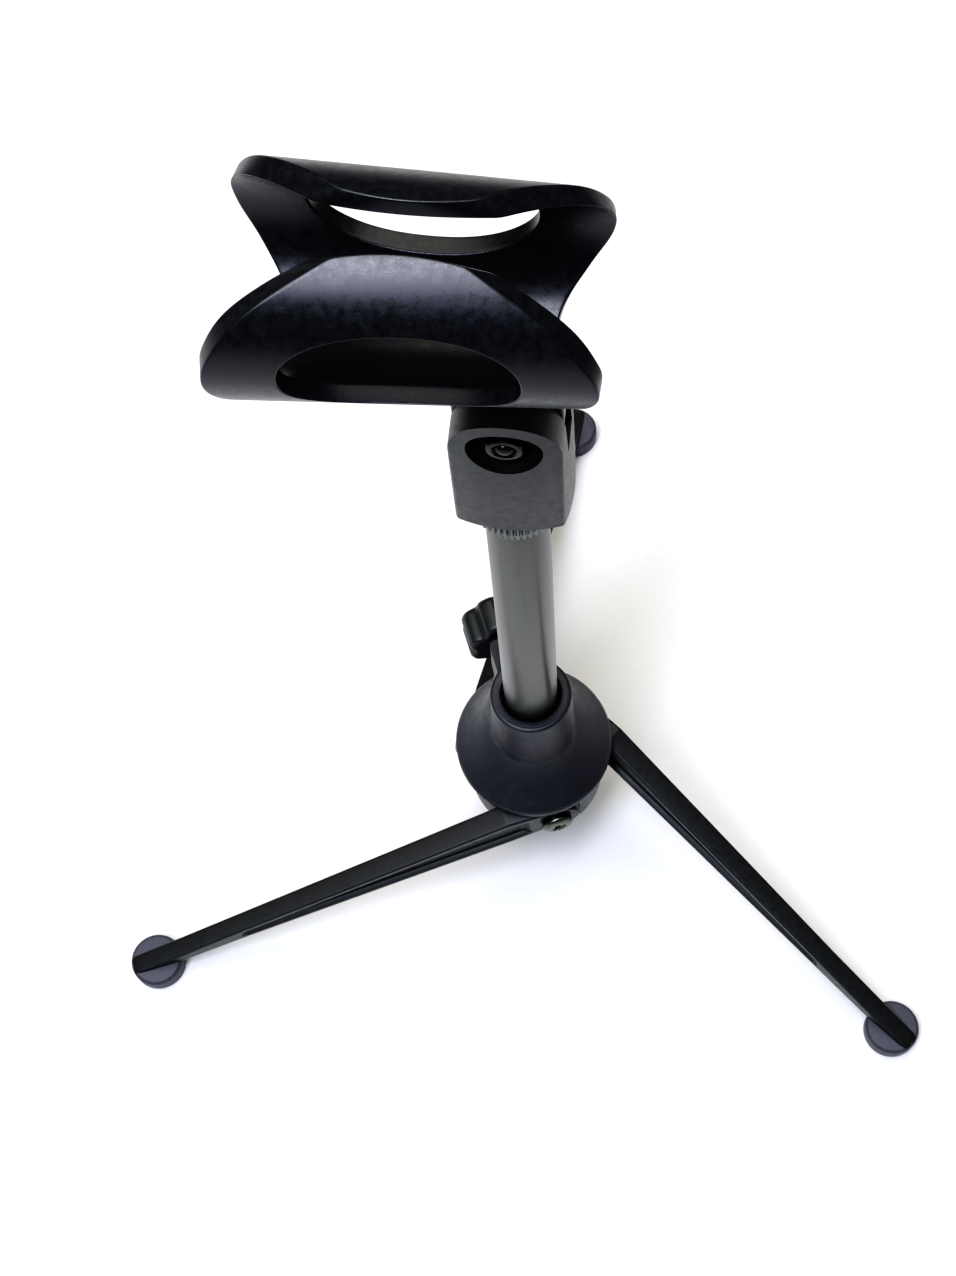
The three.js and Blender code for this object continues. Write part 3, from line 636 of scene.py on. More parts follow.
def leg_stations():
    """Distances from the pivot where a leg's section is taken, closer where it changes."""
    stations = [-LEG_ROOT_R * math.cos(math.pi / 2 * k / 12) for k in range(1, 13)]
    stations += [1, 2, 3, 4]
    stations += [LEG_POCKET_START + step for step in (-0.6, 0, 0.6, 1.3, 2, 2.7, 4, 6)]
    stations += [LEG_SHOULDER + step for step in (-0.8, -0.3, 0, 0.4, 2, 6)]
    stations += [lerp(LEG_SHOULDER + 6, LEG_POCKET_END - 4, k / 20) for k in range(1, 21)]
    stations += [LEG_POCKET_END + step for step in (-2.5, -1.8, -1.2, -0.6, 0, 1.5)]
    return stations + [lerp(LEG_POCKET_END + 1.5, LEG_REACH, k / 9) for k in range(1, 10)]


def leg_piece(name):
    rows = [[Vector((x, y, z)) for y, z in leg_section(x)] for x in leg_stations()]
    # The tip ends just inside the round edge of its foot.
    low, high = leg_bottom(LEG_REACH), leg_top(LEG_REACH)
    for share, shrink in ((0.5, 0.0), (0.85, 0.0), (0.95, 0.08), (0.985, 0.22), (1.0, 0.5)):
        row = []
        for y, z in leg_section(LEG_REACH, shrink):
            x = LEG_REACH + share * math.sqrt((FOOT_R - 0.2) ** 2 - (y - LEG_OFFSET) ** 2)
            row.append(Vector((x, y, lerp(leg_bottom(x), leg_top(x), (z - low) / (high - low)))))
        rows.append(row)
    return rings(name, rows, sharp=50.0)


def foot_piece(name):
    """A solid pad. The leg's tip passes through it, where the CAD foot has a groove."""
    outline = [(ON_AXIS, 0), (FOOT_R - FOOT_EDGE, 0), (FOOT_R, FOOT_EDGE),
               (FOOT_R, FOOT_H - FOOT_EDGE), (FOOT_R - FOOT_EDGE, FOOT_H), (ON_AXIS, FOOT_H)]
    pad = soften(rounded_lathe(name, outline, [0, 0.6, 0.6, 0.6, 0.6, 0], 4), 0.3)
    return transform(pad, shift(LEG_REACH, LEG_OFFSET, 0))


for leg, azimuth in LEGS.items():
    body = f"leg_{leg}"
    bar = at_mast(leg_piece(f"leg_bar_{leg}"), leg_turn(azimuth))
    finish(bar, LEG_BLACK, body, "leg_plastic", f"leg_{leg}")
    pad = at_mast(foot_piece(f"foot_pad_{leg}"), leg_turn(azimuth))
    finish(pad, FOOT_RUBBER, body, "foot_rubber", f"foot_{leg}")

    screw = pan_screw(f"pivot_screw_{leg}", PIVOT_SCREW_R, PIVOT_HEAD_R, PIVOT_HEAD_H,
                      PIVOT_INSERT_Y[0] + 0.6, PIVOT_HEAD_SEAT)
    at_mast(screw, pivot_place(azimuth))
    finish(screw, PIVOT_STEEL, "hub", "screw_steel", f"leg_screw_{leg}")
    washer = tube(f"pivot_washer_{leg}", PIVOT_SCREW_R + 0.2, PIVOT_HEAD_R - 0.3,
                  LEG_OUTER + 0.2, LEG_OUTER + 0.8, 0.15)
    at_mast(washer, pivot_place(azimuth))
    finish(washer, DARK_STEEL, "hub", "screw_steel", f"leg_washer_{leg}")
    insert = tube(f"pivot_insert_{leg}", PIVOT_SCREW_R + 0.1, PIVOT_INSERT_R, *PIVOT_INSERT_Y)
    at_mast(insert, pivot_place(azimuth))
    finish(insert, BRASS, "hub", "insert_brass", f"leg_insert_{leg}")


# ---- Hub ----

def cover_screw_place(azimuth):
    angle = math.radians(azimuth - FOOT_ANGLE + 90 - COVER_SCREW_TURN)
    return shift(COVER_SCREW_CIRCLE * math.cos(angle), COVER_SCREW_CIRCLE * math.sin(angle), 0)


def hub_body_piece():
    outline = [(BORE_R, HUB_BOTTOM_Z + 1.5), (BORE_R + 3, HUB_BOTTOM_Z),
               (HUB_R - 1.2, HUB_BOTTOM_Z), (HUB_R, HUB_BOTTOM_Z + 1.2), (HUB_R, SKIRT_Z + 1),
               (HUB_R - 1, SKIRT_Z + 2), (BODY_NECK_R, BODY_TOP_Z), (BORE_R, BODY_TOP_Z)]
    made = rounded_lathe("hub_lower", outline, 0.7, 3, 128, loop=True)
    hole_r = PIVOT_INSERT_R + 0.15
    sink_r = COVER_HEAD_R + 0.3
    cutters = []
    for azimuth in LEGS.values():
        slot_y = LEG_OFFSET - LEG_W / 2 - CLEARANCE
        slot = box("slot", (-LEG_ROOT_R - 1.2, slot_y, HUB_BOTTOM_Z - 1),
                   (HUB_R + 2, HUB_R + 4, LEG_TOP_Z + CLEARANCE))
        cutters.append(transform(slot, leg_turn(azimuth)))
        hole = lathe("hole", [(hole_r, PIVOT_INSERT_Y[0] - 0.4), (hole_r, HUB_R + 1)], 48)
        cutters.append(transform(hole, pivot_place(azimuth)))
        sink = lathe("sink", [(sink_r, HUB_BOTTOM_Z - 1), (sink_r, COVER_HEAD_Z + 0.2)], 40)
        cutters.append(transform(sink, cover_screw_place(azimuth)))
    return at_mast(soften(carve(made, cutters), 0.35))


def smooth_max(a, b, k):
    """The greater of two numbers, blended over a width k where they are close."""
    share = min(1.0, max(0.0, 0.5 + 0.5 * (a - b) / k))
    return lerp(b, a, share) + k * share * (1 - share)


def curve_radius(points, z):
    """Radius at a height on a list of (radius, z) points that climbs in z."""
    for (r0, z0), (r1, z1) in zip(points, points[1:]):
        if z <= z1:
            return lerp(r0, r1, max(0.0, (z - z0) / (z1 - z0)))
    return points[-1][0]


def bezier(points, steps):
    knots = [Vector((x, y, 0)) for x, y in points]
    return [(p.x, p.y) for p in interpolate_bezier(*knots, steps)]


SKIRT_CURVE = bezier([
    (SKIRT_R, SLOPE_Z),
    (SKIRT_R - 3.5, SKIRT_Z + 6.5),
    (COLLAR_R + 3, COLLAR_BASE_Z - 5),
    (COLLAR_R + 0.4, COLLAR_BASE_Z),
], 40) + [(COLLAR_R, COLLAR_TOP_Z)]


def flare_point(t):
    """Radius and height along the concave side of the skirt's swelling under the boss."""
    knots = ((FLARE_R, SLOPE_Z), (BOSS_W * 0.9, (SLOPE_Z + FLARE_TOP_Z) / 2 - 3),
             (BOSS_W / 2, FLARE_TOP_Z))
    weights = ((1 - t) ** 2, 2 * t * (1 - t), t * t)
    return tuple(sum(w * knot[i] for w, knot in zip(weights, knots)) for i in (0, 1))


FLARE_CURVE = [flare_point(k / 40) for k in range(41)]


def cover_radius(angle, z):
    """Outside radius of the hub cover: skirt, swelling and boss, blended into one skin."""
    off = angle - math.radians(CLAMP_AZIMUTH)
    ahead, aside = math.cos(off), abs(math.sin(off))
    radius = curve_radius(SKIRT_CURVE, z)
    rise = max(0.0, (z - SLOPE_Z) / (FLARE_TOP_Z - SLOPE_Z))
    if rise < 1:
        centre = lerp(FLARE_SHIFT, BOSS_END - BOSS_W / 2, rise ** FLARE_DRIFT)
        r = curve_radius(FLARE_CURVE, z)
        inside = r * r - (centre * aside) ** 2
        if inside > 0 and (centre < r or ahead > 0):
            radius = smooth_max(radius, centre * ahead + math.sqrt(inside), 1.2)
    if ahead > 0:
        power = BOSS_SQUARENESS
        reach = ((ahead / BOSS_END) ** power + (aside / (BOSS_W / 2)) ** power) ** (-1 / power)
        radius = smooth_max(radius, reach * smoothstep(z, *BOSS_GROWTH_Z), 0.8)
    return radius


def cover_azimuths(count=200):
    """Azimuths round the hub cover, closer together at the boss and opposite it."""
    out = []
    for i in range(count):
        share = i / count
        share -= 0.034375 * math.sin(4 * math.pi * share)
        out.append(2 * math.pi * share + math.radians(CLAMP_AZIMUTH))
    return out


def hub_cover_piece():
    angles = cover_azimuths()

    def row(radius, z):
        return [Vector((radius(a) * math.cos(a), radius(a) * math.sin(a), z)) for a in angles]

    # The skirt's rounded rim, then its slope and the collar.
    rows = []
    for inset, z in ((0.9, 0.0), (0.45, 0.12), (0.12, 0.45), (0.0, 0.9)):
        rows.append(row(lambda a, i=inset: cover_radius(a, SKIRT_Z + 1) - i, SKIRT_Z + z))
    edge = COLLAR_TOP_Z - 1.6
    heights = [SKIRT_Z + 1.9, SKIRT_Z + 2.9]
    heights += [lerp(SLOPE_Z + 0.6, COLLAR_BASE_Z - 0.4, k / 14) for k in range(15)]
    heights += [COLLAR_BASE_Z + step for step in (0, 0.5, 2, 4)]
    heights += [COLLAR_BASE_Z + 6 + 0.75 * k for k in range(11)]
    heights += [COLLAR_TOP_Z - step for step in (13.5, 11, 8, 5, 2.6)] + [edge]
    rows += [row(lambda a, h=z: cover_radius(a, h), z) for z in heights]

    # The boss's rounded top, and the collar's rim standing a little above it.
    for inset, down in ((0.06, 1.2), (0.25, 0.8), (0.55, 0.55), (0.9, 0.45)):
        rows.append(row(lambda a, i=inset: cover_radius(a, edge) - i, COLLAR_TOP_Z - down))
    rows.append(row(lambda a: min(cover_radius(a, edge) - 1.1, 12.2), COLLAR_TOP_Z - 0.42))
    for r, down in ((12.0, 0.25), (11.7, 0.04), (11.4, 0)):
        rows.append(row(lambda a, r=r: min(cover_radius(a, edge) - 1.2, r), COLLAR_TOP_Z - down))

    # Inside: the bore for the mast, and room for the hub's lower body.
    mouth = ((1.2, 0), (0.9, 0.1), (0.75, 0.4), (0.3, 1.6), (0, 2.6), (0, 5))
    inner = [(BORE_R + out, COLLAR_TOP_Z - down) for out, down in mouth]
    inner += [(BORE_R, BODY_TOP_Z + CLEARANCE), (BODY_NECK_R + CLEARANCE, BODY_TOP_Z + CLEARANCE),
              (HUB_R - 0.7, SKIRT_Z + 2.6), (HUB_R + CLEARANCE, SKIRT_Z + 1.3),
              (HUB_R + CLEARANCE, SKIRT_Z + 0.3), (HUB_R + 0.5, SKIRT_Z)]
    rows += [row(lambda a, r=r: r, z) for r, z in inner]
    made = rings("hub_upper", rows, loop=True, sharp=50.0)

    screw_r = CLAMP_SCREW_R + 0.25
    insert_r = CLAMP_INSERT_R + 0.2
    drill = lathe("drill", [(screw_r, 6), (screw_r, CLAMP_INSERT_START),
                            (insert_r, CLAMP_INSERT_START), (insert_r, BOSS_END + 2)], 64)
    carve(made, [transform(drill, CLAMP_PLACE)])
    made.data.shade_smooth()
    made.data.set_sharp_from_angle(angle=math.radians(50))
    return at_mast(made)


finish(hub_body_piece(), HUB_BLACK, "hub", "hub_plastic", "hub_body")
finish(hub_cover_piece(), HUB_BLACK, "hub", "hub_plastic", "hub_cover")
for i, azimuth in enumerate(LEGS.values(), 1):
    screw = pan_screw(f"under_screw_{i}", COVER_SCREW_R, COVER_HEAD_R, COVER_HEAD_H,
                      -COVER_SCREW_TOP, -COVER_HEAD_Z)
    at_mast(screw, cover_screw_place(azimuth) @ turn(180, "X"))
    finish(screw, SCREW_STEEL, "hub", "screw_steel", f"cover_screw_{i}")

insert = tube("boss_insert", CLAMP_SCREW_R + 0.15, CLAMP_INSERT_R,
              CLAMP_INSERT_START + CLEARANCE, BOSS_END - 0.4, 0.3)
at_mast(insert, CLAMP_PLACE)
finish(insert, BRASS, "hub", "insert_brass", "clamp_insert")


# ---- Thumb screw ----

def knob_piece():
    steps = KNOB_LOBES * 24
    profile = [(0.0, KNOB_R - 2.6), (0.0, KNOB_R - 1.6), (0.35, KNOB_R - 0.6), (1.0, KNOB_R - 0.12),
               (1.9, KNOB_R), (KNOB_L - 2.2, KNOB_R), (KNOB_L - 1.2, KNOB_R - 0.2),
               (KNOB_L - 0.5, KNOB_R - 0.7), (KNOB_L - 0.1, KNOB_R - 1.5), (KNOB_L, KNOB_R - 2.6)]
    rows = [circle(CLAMP_SCREW_R + 0.2, 0.6, steps), circle(CLAMP_SCREW_R + 0.4, 0.0, steps)]
    for z, r in profile:

        def lobed(angle, r=r):
            wave = 0.5 + 0.5 * math.cos(KNOB_LOBES * angle)
            return r - KNOB_GROOVE * wave ** KNOB_GROOVE_POWER * (r / KNOB_R) ** 3

        rows.append(circle(lobed, z, steps))
    dish = [(KNOB_R - 4.4, 0), (KNOB_R - 4.9, 0.15), (KNOB_R - 5.3, 0.6), (KNOB_R - 5.8, 0.8),
            (3.0, 0.9), (ON_AXIS, 0.9)]
    rows += [circle(r, KNOB_L - down, steps) for r, down in dish]
    made = rings("thumb_knob", rows, sharp=50.0)
    return at_mast(made, CLAMP_PLACE @ shift(0, 0, KNOB_START))


finish(knob_piece(), KNOB_BLACK, "clamp_knob", "knob_plastic", "clamp_knob")
shank = threaded("thumb_screw", CLAMP_CORE_R, CLAMP_SCREW_R, CLAMP_PITCH, CLAMP_TIP, KNOB_START + 4)
at_mast(shank, CLAMP_PLACE)
finish(shank, SCREW_STEEL, "clamp_knob", "screw_steel", "clamp_screw")
pad_outline = [(ON_AXIS, PAD_REACH[0]), (PAD_R, PAD_REACH[0]), (PAD_R, PAD_REACH[1]),
               (ON_AXIS, PAD_REACH[1])]
pad = at_mast(rounded_lathe("thumb_pad", pad_outline, [0, 0.3, 0.3, 0], 4, 48), CLAMP_PLACE)
finish(pad, PAD_NYLON, "clamp_pad", "pad_nylon", "clamp_pad")


# ---- Mast ----

mast = tube("mast", MAST_BORE_R, MAST_R, *MAST_Z, 0.35, 128)
finish(at_mast(mast), MAST_PAINT, "mast", "mast_paint", "mast_tube")

flange_r = MAST_R - 0.2
grip_r = MAST_BORE_R - CLEARANCE
foot_z, seat_z, grip_z = MAST_Z[0] - 1.8, MAST_Z[0] - CLEARANCE, MAST_Z[0] + 14
plug_outline = [(ON_AXIS, foot_z), (flange_r - 0.9, foot_z), (flange_r, foot_z + 0.9),
                (flange_r, seat_z), (grip_r, seat_z), (grip_r, grip_z), (ON_AXIS, grip_z)]
plug = rounded_lathe("mast_plug", plug_outline, [0, 0.5, 0.4, 0.2, 0.2, 0.5, 0])
finish(at_mast(plug), KNOB_BLACK, "mast", "knob_plastic", "mast_end_plug")

stud = threaded("post_thread", STUD_CORE_R, STUD_R, STUD_PITCH,
                MAST_Z[1] + CLEARANCE, BASE_Z + 12, 72)
finish(at_mast(stud), SCREW_STEEL, "mast", "screw_steel", "mast_stud")


def lock_ring_piece():
    z0, z1 = RING_Z
    steps = RING_TEETH * 8

    def toothed(depth):
        def radius(angle):
            wave = abs(((angle * RING_TEETH / (2 * math.pi)) % 1.0) * 2 - 1)
            return RING_R - depth - RING_TOOTH * (1 - smoothstep(wave, 0.15, 0.85))
        return radius

    face = ((STUD_R + 0.2, 0.3), (STUD_R + 0.5, 0.0), (RING_R - 1.6, 0.0))
    rim = ((0.45, 0.03), (0.15, 0.25), (0.03, 0.55), (0.0, 0.9))
    rows = [circle(r, z0 + z, steps) for r, z in face]
    rows += [circle(toothed(depth), z0 + z, steps) for depth, z in rim]
    rows += [circle(toothed(depth), z1 - z, steps) for depth, z in reversed(rim)]
    rows += [circle(r, z1 - z, steps) for r, z in reversed(face)]
    return at_mast(rings("knurled_ring", rows, loop=True, sharp=55.0))


finish(lock_ring_piece(), RING_STEEL, "lock_ring", "screw_steel", "lock_ring")


# ---- Clip base ----

BOW_STEPS = 16  # steps along each bowed side of the base


def bowed(start, end, rise):
    """Points along an arc from start that stands out from its chord by rise."""
    start, end = Vector(start), Vector(end)
    chord = end - start
    half = chord.length / 2
    out = Vector((chord.y, -chord.x)).normalized()
    radius = (half * half + rise * rise) / (2 * rise)
    centre = (start + end) / 2 + out * (rise - radius)
    span = math.asin(half / radius)
    points = []
    for k in range(BOW_STEPS):
        angle = span * (2 * k / BOW_STEPS - 1)
        points.append(centre + chord.normalized() * radius * math.sin(angle)
                      + out * radius * math.cos(angle))
    return points


def base_outline():
    """Seen from above: four bowed sides with rounded corners between them."""
    x, y = BASE_CORNER
    rise_x, rise_y = BASE_BULGE[0] - x, BASE_BULGE[1] - y
    corners = [(-x, -y), (x, -y), (x, y), (-x, y)]
    points = []
    for i in range(4):
        points += bowed(corners[i], corners[(i + 1) % 4], rise_y if i % 2 == 0 else rise_x)
    return rounded(points, [0 if i % BOW_STEPS else 1.6 for i in range(len(points))], 5)


def base_side_outline():
    """Seen from the front: the sides draw in a little to a round top about the tilt axis."""
    half = BASE_BULGE[0] + 0.05
    top_z, top_half, rise = TILT_Z - 4, half - 1.5, CHEEK_R + 4
    points = [(-half, BASE_Z - 1), (half, BASE_Z - 1), (half, BASE_Z)]
    steps = 48
    for k in range(steps + 1):
        angle = math.pi * k / steps
        points.append((top_half * math.cos(angle), top_z + rise * math.sin(angle)))
    return points + [(-half, BASE_Z)]


def along_y(made, z=0.0):
    """Stands a prism drawn in XZ up on its outline, with its thickness along Y."""
    return transform(made, shift(0, 0, z) @ turn(90, "X"))


def tilt_bore(radius):
    """A cutter for the hole of the tilt screw."""
    reach = TILT_BORE_REACH
    return along_y(lathe("hole", [(radius, -reach), (radius, reach)], 48), TILT_Z)


def clip_base_piece():
    top = TILT_Z + CHEEK_R
    made = prism("clip_block", base_outline(), BASE_Z, top + 1, 0.6)
    front = along_y(prism("front", base_side_outline(), -THROUGH, THROUGH, 0.1))
    carve(made, [front], "INTERSECT")
    slot = box("slot", (-THROUGH, LUG_Y[0] - CLEARANCE, TILT_Z - CHEEK_R - 1.2),
               (THROUGH, LUG_Y[1] + CLEARANCE, TILT_Z + 24))
    pocket = lathe("pocket", [(NUT_POCKET_R, -POCKET_FLOOR), (NUT_POCKET_R, TILT_BORE_REACH)])
    well_r = BASE_INSERT_R + 0.2
    well = lathe("well", [(well_r, BASE_Z - 1), (well_r, BASE_Z + BASE_INSERT_H + CLEARANCE)])
    carve(made, [slot, along_y(pocket, TILT_Z), tilt_bore(TILT_SCREW_R + 0.2), well])
    return at_mast(soften(made, 0.45))


finish(clip_base_piece(), BASE_GREY, "clip_base", "moulded_base", "clip_base")
insert = tube("post_insert", STUD_R + 0.15, BASE_INSERT_R,
              BASE_Z + 0.2, BASE_Z + BASE_INSERT_H, 0.3, 96)
finish(at_mast(insert), BRASS, "clip_base", "insert_brass", "thread_insert")

screw = pan_screw("tilt_bolt", TILT_SHANK_R, TILT_HEAD_R, TILT_HEAD_H,
                  POCKET_FLOOR + 1, BASE_BULGE[1] + 0.2)
finish(at_mast(screw, TILT_PLACE), DARK_STEEL, "clip_base", "screw_steel", "tilt_screw")
tip_z = POCKET_FLOOR - 5
bolt_end = threaded("tilt_bolt_end", TILT_SHANK_R, TILT_THREAD_R, TILT_PITCH,
                    tip_z + 0.9, POCKET_FLOOR + 4)
finish(at_mast(bolt_end, TILT_PLACE), DARK_STEEL, "clip_base", "screw_steel")
tip_outline = ((ON_AXIS, 0), (0.8, 0.08), (1.5, 0.35), (1.95, 0.8), (TILT_SHANK_R, 1.3),
               (ON_AXIS, 1.3))
tip = lathe("tilt_bolt_tip", [(r, tip_z + z) for r, z in tip_outline], 48)
finish(at_mast(tip, TILT_PLACE), DARK_STEEL, "clip_base", "screw_steel")
washer = tube("tilt_washer_ring", TILT_SCREW_R + 0.15, TILT_WASHER_R,
              POCKET_FLOOR - 1, POCKET_FLOOR - 0.2, 0.2)
finish(at_mast(washer, TILT_PLACE), DARK_STEEL, "clip_base", "screw_steel", "tilt_washer")


def nut_piece():
    z1 = POCKET_FLOOR - 1.2
    z0 = z1 - NUT_H
    corner = NUT_ACROSS / math.sqrt(3)
    steps = 120

    def hexagon(limit):
        """A hexagon whose corners are cut off at a radius."""
        def radius(angle):
            off = (angle + math.pi / 6) % (math.pi / 3) - math.pi / 6
            return min(limit, NUT_ACROSS / 2 / math.cos(off))
        return radius

    rows = [circle(NUT_BORE_R, z0 + 0.3, steps), circle(2.95, z0, steps)]
    for limit, z in ((3.75, 0), (4.05, 0.12), (4.35, 0.3), (corner, 0.5)):
        rows.append(circle(hexagon(limit), z0 + z, steps))
    rows += [circle(hexagon(corner), z1, steps), circle(NUT_BORE_R, z1, steps)]
    return at_mast(rings("tilt_hex_nut", rows, loop=True), TILT_PLACE)


finish(nut_piece(), DARK_STEEL, "clip_base", "screw_steel", "tilt_nut")


# ---- Microphone clip ----

# Degrees round from the cradle's bottom, and half its length there: widest at mid height.
HALF_LENGTHS = [(0, 28), (25, 29), (55, 34.3), (76, 38.1), (88, CRADLE_HALF), (104, 37.1),
                (130, 29.2), (ARM_ANGLE, 12.8)]


def catmull(points, x):
    """A smooth curve through points, which climb in x."""
    last = len(points) - 1
    i = max(k for k in range(last) if points[k][0] <= x or k == 0)
    (x1, y1), (x2, y2) = points[i], points[i + 1]
    before = points[max(0, i - 1)]
    after = points[min(last, i + 2)]
    m1 = (y2 - before[1]) / (x2 - before[0])
    m2 = (after[1] - y1) / (after[0] - x1)
    t = (x - x1) / (x2 - x1)
    span = x2 - x1
    return ((2 * t ** 3 - 3 * t ** 2 + 1) * y1 + (t ** 3 - 2 * t ** 2 + t) * span * m1
            + (3 * t ** 2 - 2 * t ** 3) * y2 + (t ** 3 - t ** 2) * span * m2)


def cradle_radius(x, depth):
    """depth is 0 on the cradle's outer surface and 1 on its inner one."""
    return (CRADLE_R - CRADLE_WALL * depth) * (1 + CRADLE_TAPER * x / (CRADLE_HALF * CRADLE_R))


def cradle_half(degrees, depth):
    start, end = CRADLE_SLOPE_ANGLES
    sloped = min(1.0, max(0.0, (degrees - start) / (end - start)))
    return catmull(HALF_LENGTHS, degrees) + CRADLE_END_SLOPE * sloped * depth


def cradle_point(x, degrees, depth):
    r = cradle_radius(x, depth)
    angle = math.radians(degrees)
    return Vector((CRADLE_X + x, r * math.sin(angle), CRADLE_Z - r * math.cos(angle)))


ROOT_ANGLE = 34.0  # where the arms' skin meets the bottom's
ACROSS = 24  # steps along the cradle
ROUND = 26  # steps from an arm's root to its free end
SPOKES = (0.0, 0.06, 0.16, 0.34, 0.56, 0.78, 1.0)  # from a window's rim to the arm's edge


def arm_border(depth):
    """An arm's edge as (x, degrees): along its root, up one side, over the free end and down."""
    def end_x(s, degrees):
        return s * cradle_half(degrees, depth)

    points = [(end_x(-1 + 2 * k / ACROSS, ROOT_ANGLE), ROOT_ANGLE) for k in range(ACROSS)]
    rise = [lerp(ROOT_ANGLE, ARM_ANGLE, k / ROUND) for k in range(ROUND)]
    points += [(end_x(1, degrees), degrees) for degrees in rise]
    for k in range(ACROSS):
        s = 1 - 2 * k / ACROSS
        points.append((end_x(s, ARM_ANGLE), ARM_ANGLE + ARM_BOW * (1 - s * s)))
    fall = [lerp(ARM_ANGLE, ROOT_ANGLE, k / ROUND) for k in range(ROUND)]
    return points + [(end_x(-1, degrees), degrees) for degrees in fall]


def window_rim(depth, border):
    """The window's edge as (x, degrees), one point facing each point of the arm's border."""
    out = []
    for x, degrees in border:
        aim_z = -cradle_radius(x, 0) * math.cos(math.radians(degrees)) - WINDOW_Z
        angle = math.atan2(aim_z / WINDOW_HEIGHT, x / WINDOW_HALF)
        c, s = math.cos(angle), math.sin(angle)
        wx = WINDOW_HALF * math.copysign(abs(c) ** (2 / WINDOW_POWER), c)
        wz = WINDOW_Z + WINDOW_HEIGHT * math.copysign(abs(s) ** (2 / WINDOW_POWER), s)
        out.append((wx, math.degrees(math.acos(-wz / cradle_radius(wx, depth)))))
    return out


def cradle_piece():
    """Two arms with a window each, and the bottom between them, as one skin."""
    points, faces = [], []

    def quads(rows, closed):
        """Faces between rows of point numbers."""
        for low, high in zip(rows, rows[1:]):
            count = len(low)
            for j in range(count if closed else count - 1):
                k = (j + 1) % count
                faces.append((low[j], low[k], high[k], high[j]))

    def place(row):
        """Adds a row of points and gives their numbers."""
        start = len(points)
        points.extend(row)
        return list(range(start, len(points)))

    rims, borders = {}, {}
    for sign in (-1, 1):
        aims = arm_border(0)
        for depth in (0, 1):
            border = arm_border(depth)
            if sign > 0:
                border = [(x, degrees + BACK_ARM_EXTRA * (degrees / ARM_ANGLE) ** 8)
                          for x, degrees in border]
            rim = window_rim(depth, aims)
            rows = []
            for share in SPOKES:
                ring = [(lerp(a[0], b[0], share), lerp(a[1], b[1], share))
                        for a, b in zip(rim, border)]
                rows.append(place([cradle_point(x, sign * d, depth) for x, d in ring]))
            quads(rows, True)
            rims[sign, depth] = rows[0]
            borders[sign, depth] = rows[-1]
        quads([rims[sign, 0], rims[sign, 1]], True)
        edge = [borders[sign, depth][ACROSS:] + borders[sign, depth][:1] for depth in (0, 1)]
        quads(edge, False)

    bottoms = {}
    steps = 12
    for depth in (0, 1):
        rows = []
        for k in range(steps + 1):
            degrees = lerp(-ROOT_ANGLE, ROOT_ANGLE, k / steps)
            half = cradle_half(abs(degrees), depth)
            row = [cradle_point(half * (-1 + 2 * j / ACROSS), degrees, depth)
                   for j in range(ACROSS + 1)]
            rows.append(place(row))
        quads(rows, False)
        bottoms[depth] = rows
    for end in (0, ACROSS):
        quads([[row[end] for row in bottoms[depth]] for depth in (0, 1)], False)

    made = new_object("clip_cradle", points, faces)
    edge = made.modifiers.new("edge", "BEVEL")
    edge.width = 0.95 * MM
    edge.segments = 3
    edge.limit_method = "ANGLE"
    edge.angle_limit = math.radians(50)
    evaluated(made)
    smooth = made.modifiers.new("smooth", "SUBSURF")
    smooth.levels = 2
    smooth.render_levels = 2
    evaluated(made)
    made.data.shade_smooth()
    return at_mast(made)


def lug_piece():
    """The plate under the cradle that turns between the base's cheeks."""
    top = CRADLE_Z - CRADLE_R + 2
    left = bezier([(-CHEEK_R, TILT_Z), (-CHEEK_R, TILT_Z + 8), (-CHEEK_R - 0.5, top - 4),
                   (-CHEEK_R - 4, top)], 12)
    right = bezier([(CHEEK_R - 2.8, top), (CHEEK_R - 0.5, top - 8), (CHEEK_R, TILT_Z + 8),
                    (CHEEK_R, TILT_Z)], 12)
    arc = [(CHEEK_R * math.cos(a), TILT_Z + CHEEK_R * math.sin(a))
           for a in (-math.pi * k / 40 for k in range(1, 40))]
    outline = list(reversed(right + arc + left))
    made = along_y(prism("clip_lug", outline, -LUG_Y[1], -LUG_Y[0], 0.5))
    return at_mast(carve(made, [tilt_bore(TILT_SCREW_R + 0.3)]))


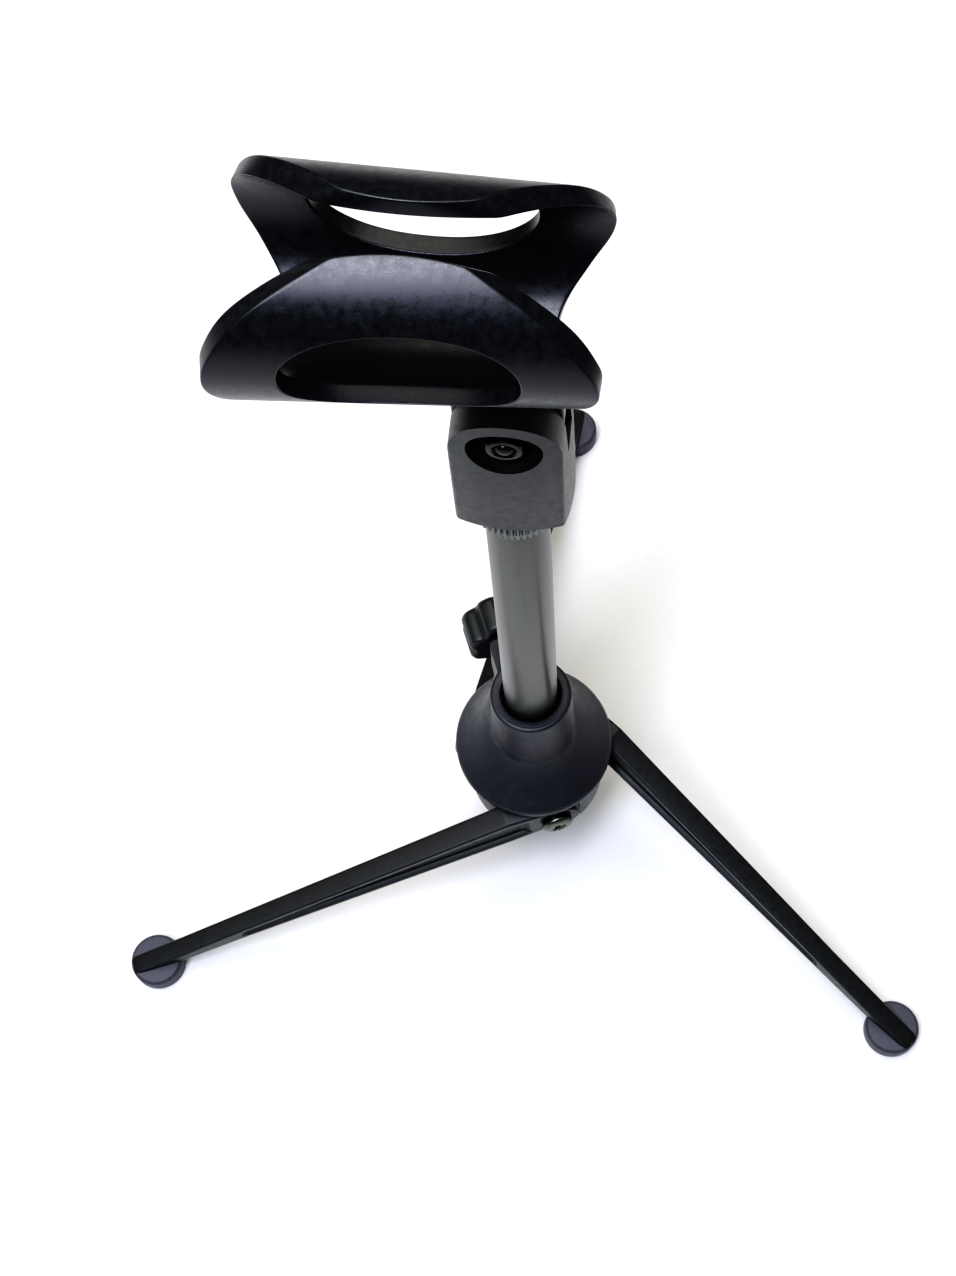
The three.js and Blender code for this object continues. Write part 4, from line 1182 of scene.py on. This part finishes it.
finish(cradle_piece(), CLIP_BLACK, "mic_clip", "moulded_clip", "mic_clip")
finish(lug_piece(), CLIP_BLACK, "mic_clip", "moulded_clip")


# ---- Stage and light ----

def make_floor():
    half = 3.0  # metres, like all sizes on the stage
    mesh = bpy.data.meshes.new("floor")
    corners = [(-half, -half, TABLE_Z), (half, -half, TABLE_Z), (half, half, TABLE_Z),
               (-half, half, TABLE_Z)]
    mesh.from_pydata(corners, [], [(0, 1, 2, 3)])
    floor = bpy.data.objects.new("floor", mesh)
    bpy.context.scene.collection.objects.link(floor)
    made = Finish("floor_white", Roughness=0.55)
    fine = made.noise(2.5, 2.0)
    broad = made.noise(90.0, 2.0)
    both = made.blend(fine, broad, 0.5)
    made.colours(both, [(0.3, (0.86, 0.855, 0.82)), (0.7, (0.89, 0.887, 0.86))])
    mesh.materials.append(made.material)


def soft_light(name, at, aim, size, power, colour):
    data = bpy.data.lights.new(name, "AREA")
    data.shape = "RECTANGLE"
    data.size, data.size_y = size
    data.energy = power
    data.color = colour
    lamp = bpy.data.objects.new(name, data)
    bpy.context.scene.collection.objects.link(lamp)
    lamp.location = at
    lamp.rotation_mode = "QUATERNION"
    lamp.rotation_quaternion = (Vector(aim) - Vector(at)).to_track_quat("-Z", "Y")


def make_light():
    world = bpy.data.worlds.new("room")
    world.use_nodes = True
    background = world.node_tree.nodes["Background"]
    background.inputs["Color"].default_value = (1.0, 0.985, 0.94, 1)
    background.inputs["Strength"].default_value = 0.2
    bpy.context.scene.world = world
    soft_light("bank", (-0.27, -0.55, 1.6), (0, 0, 0.3), (0.34, 1.15), 29, (0.77, 0.81, 1.0))
    soft_light("overhead", (-0.3, 0.4, 1.9), (0, 0, 0.1), (2.2, 1.6), 31, (1.0, 0.985, 0.92))


def make_tones():
    """The tone curve of a contrasty studio picture, with deep blacks."""
    view = bpy.context.scene.view_settings
    view.view_transform = "Standard"
    view.look = "None"
    view.use_curve_mapping = True
    for level, shown in ((0.05, 0.014), (0.2, 0.165)):
        view.curve_mapping.curves[3].points.new(level, shown)
    view.curve_mapping.update()


make_floor()
make_light()
make_tones()
make_camera()
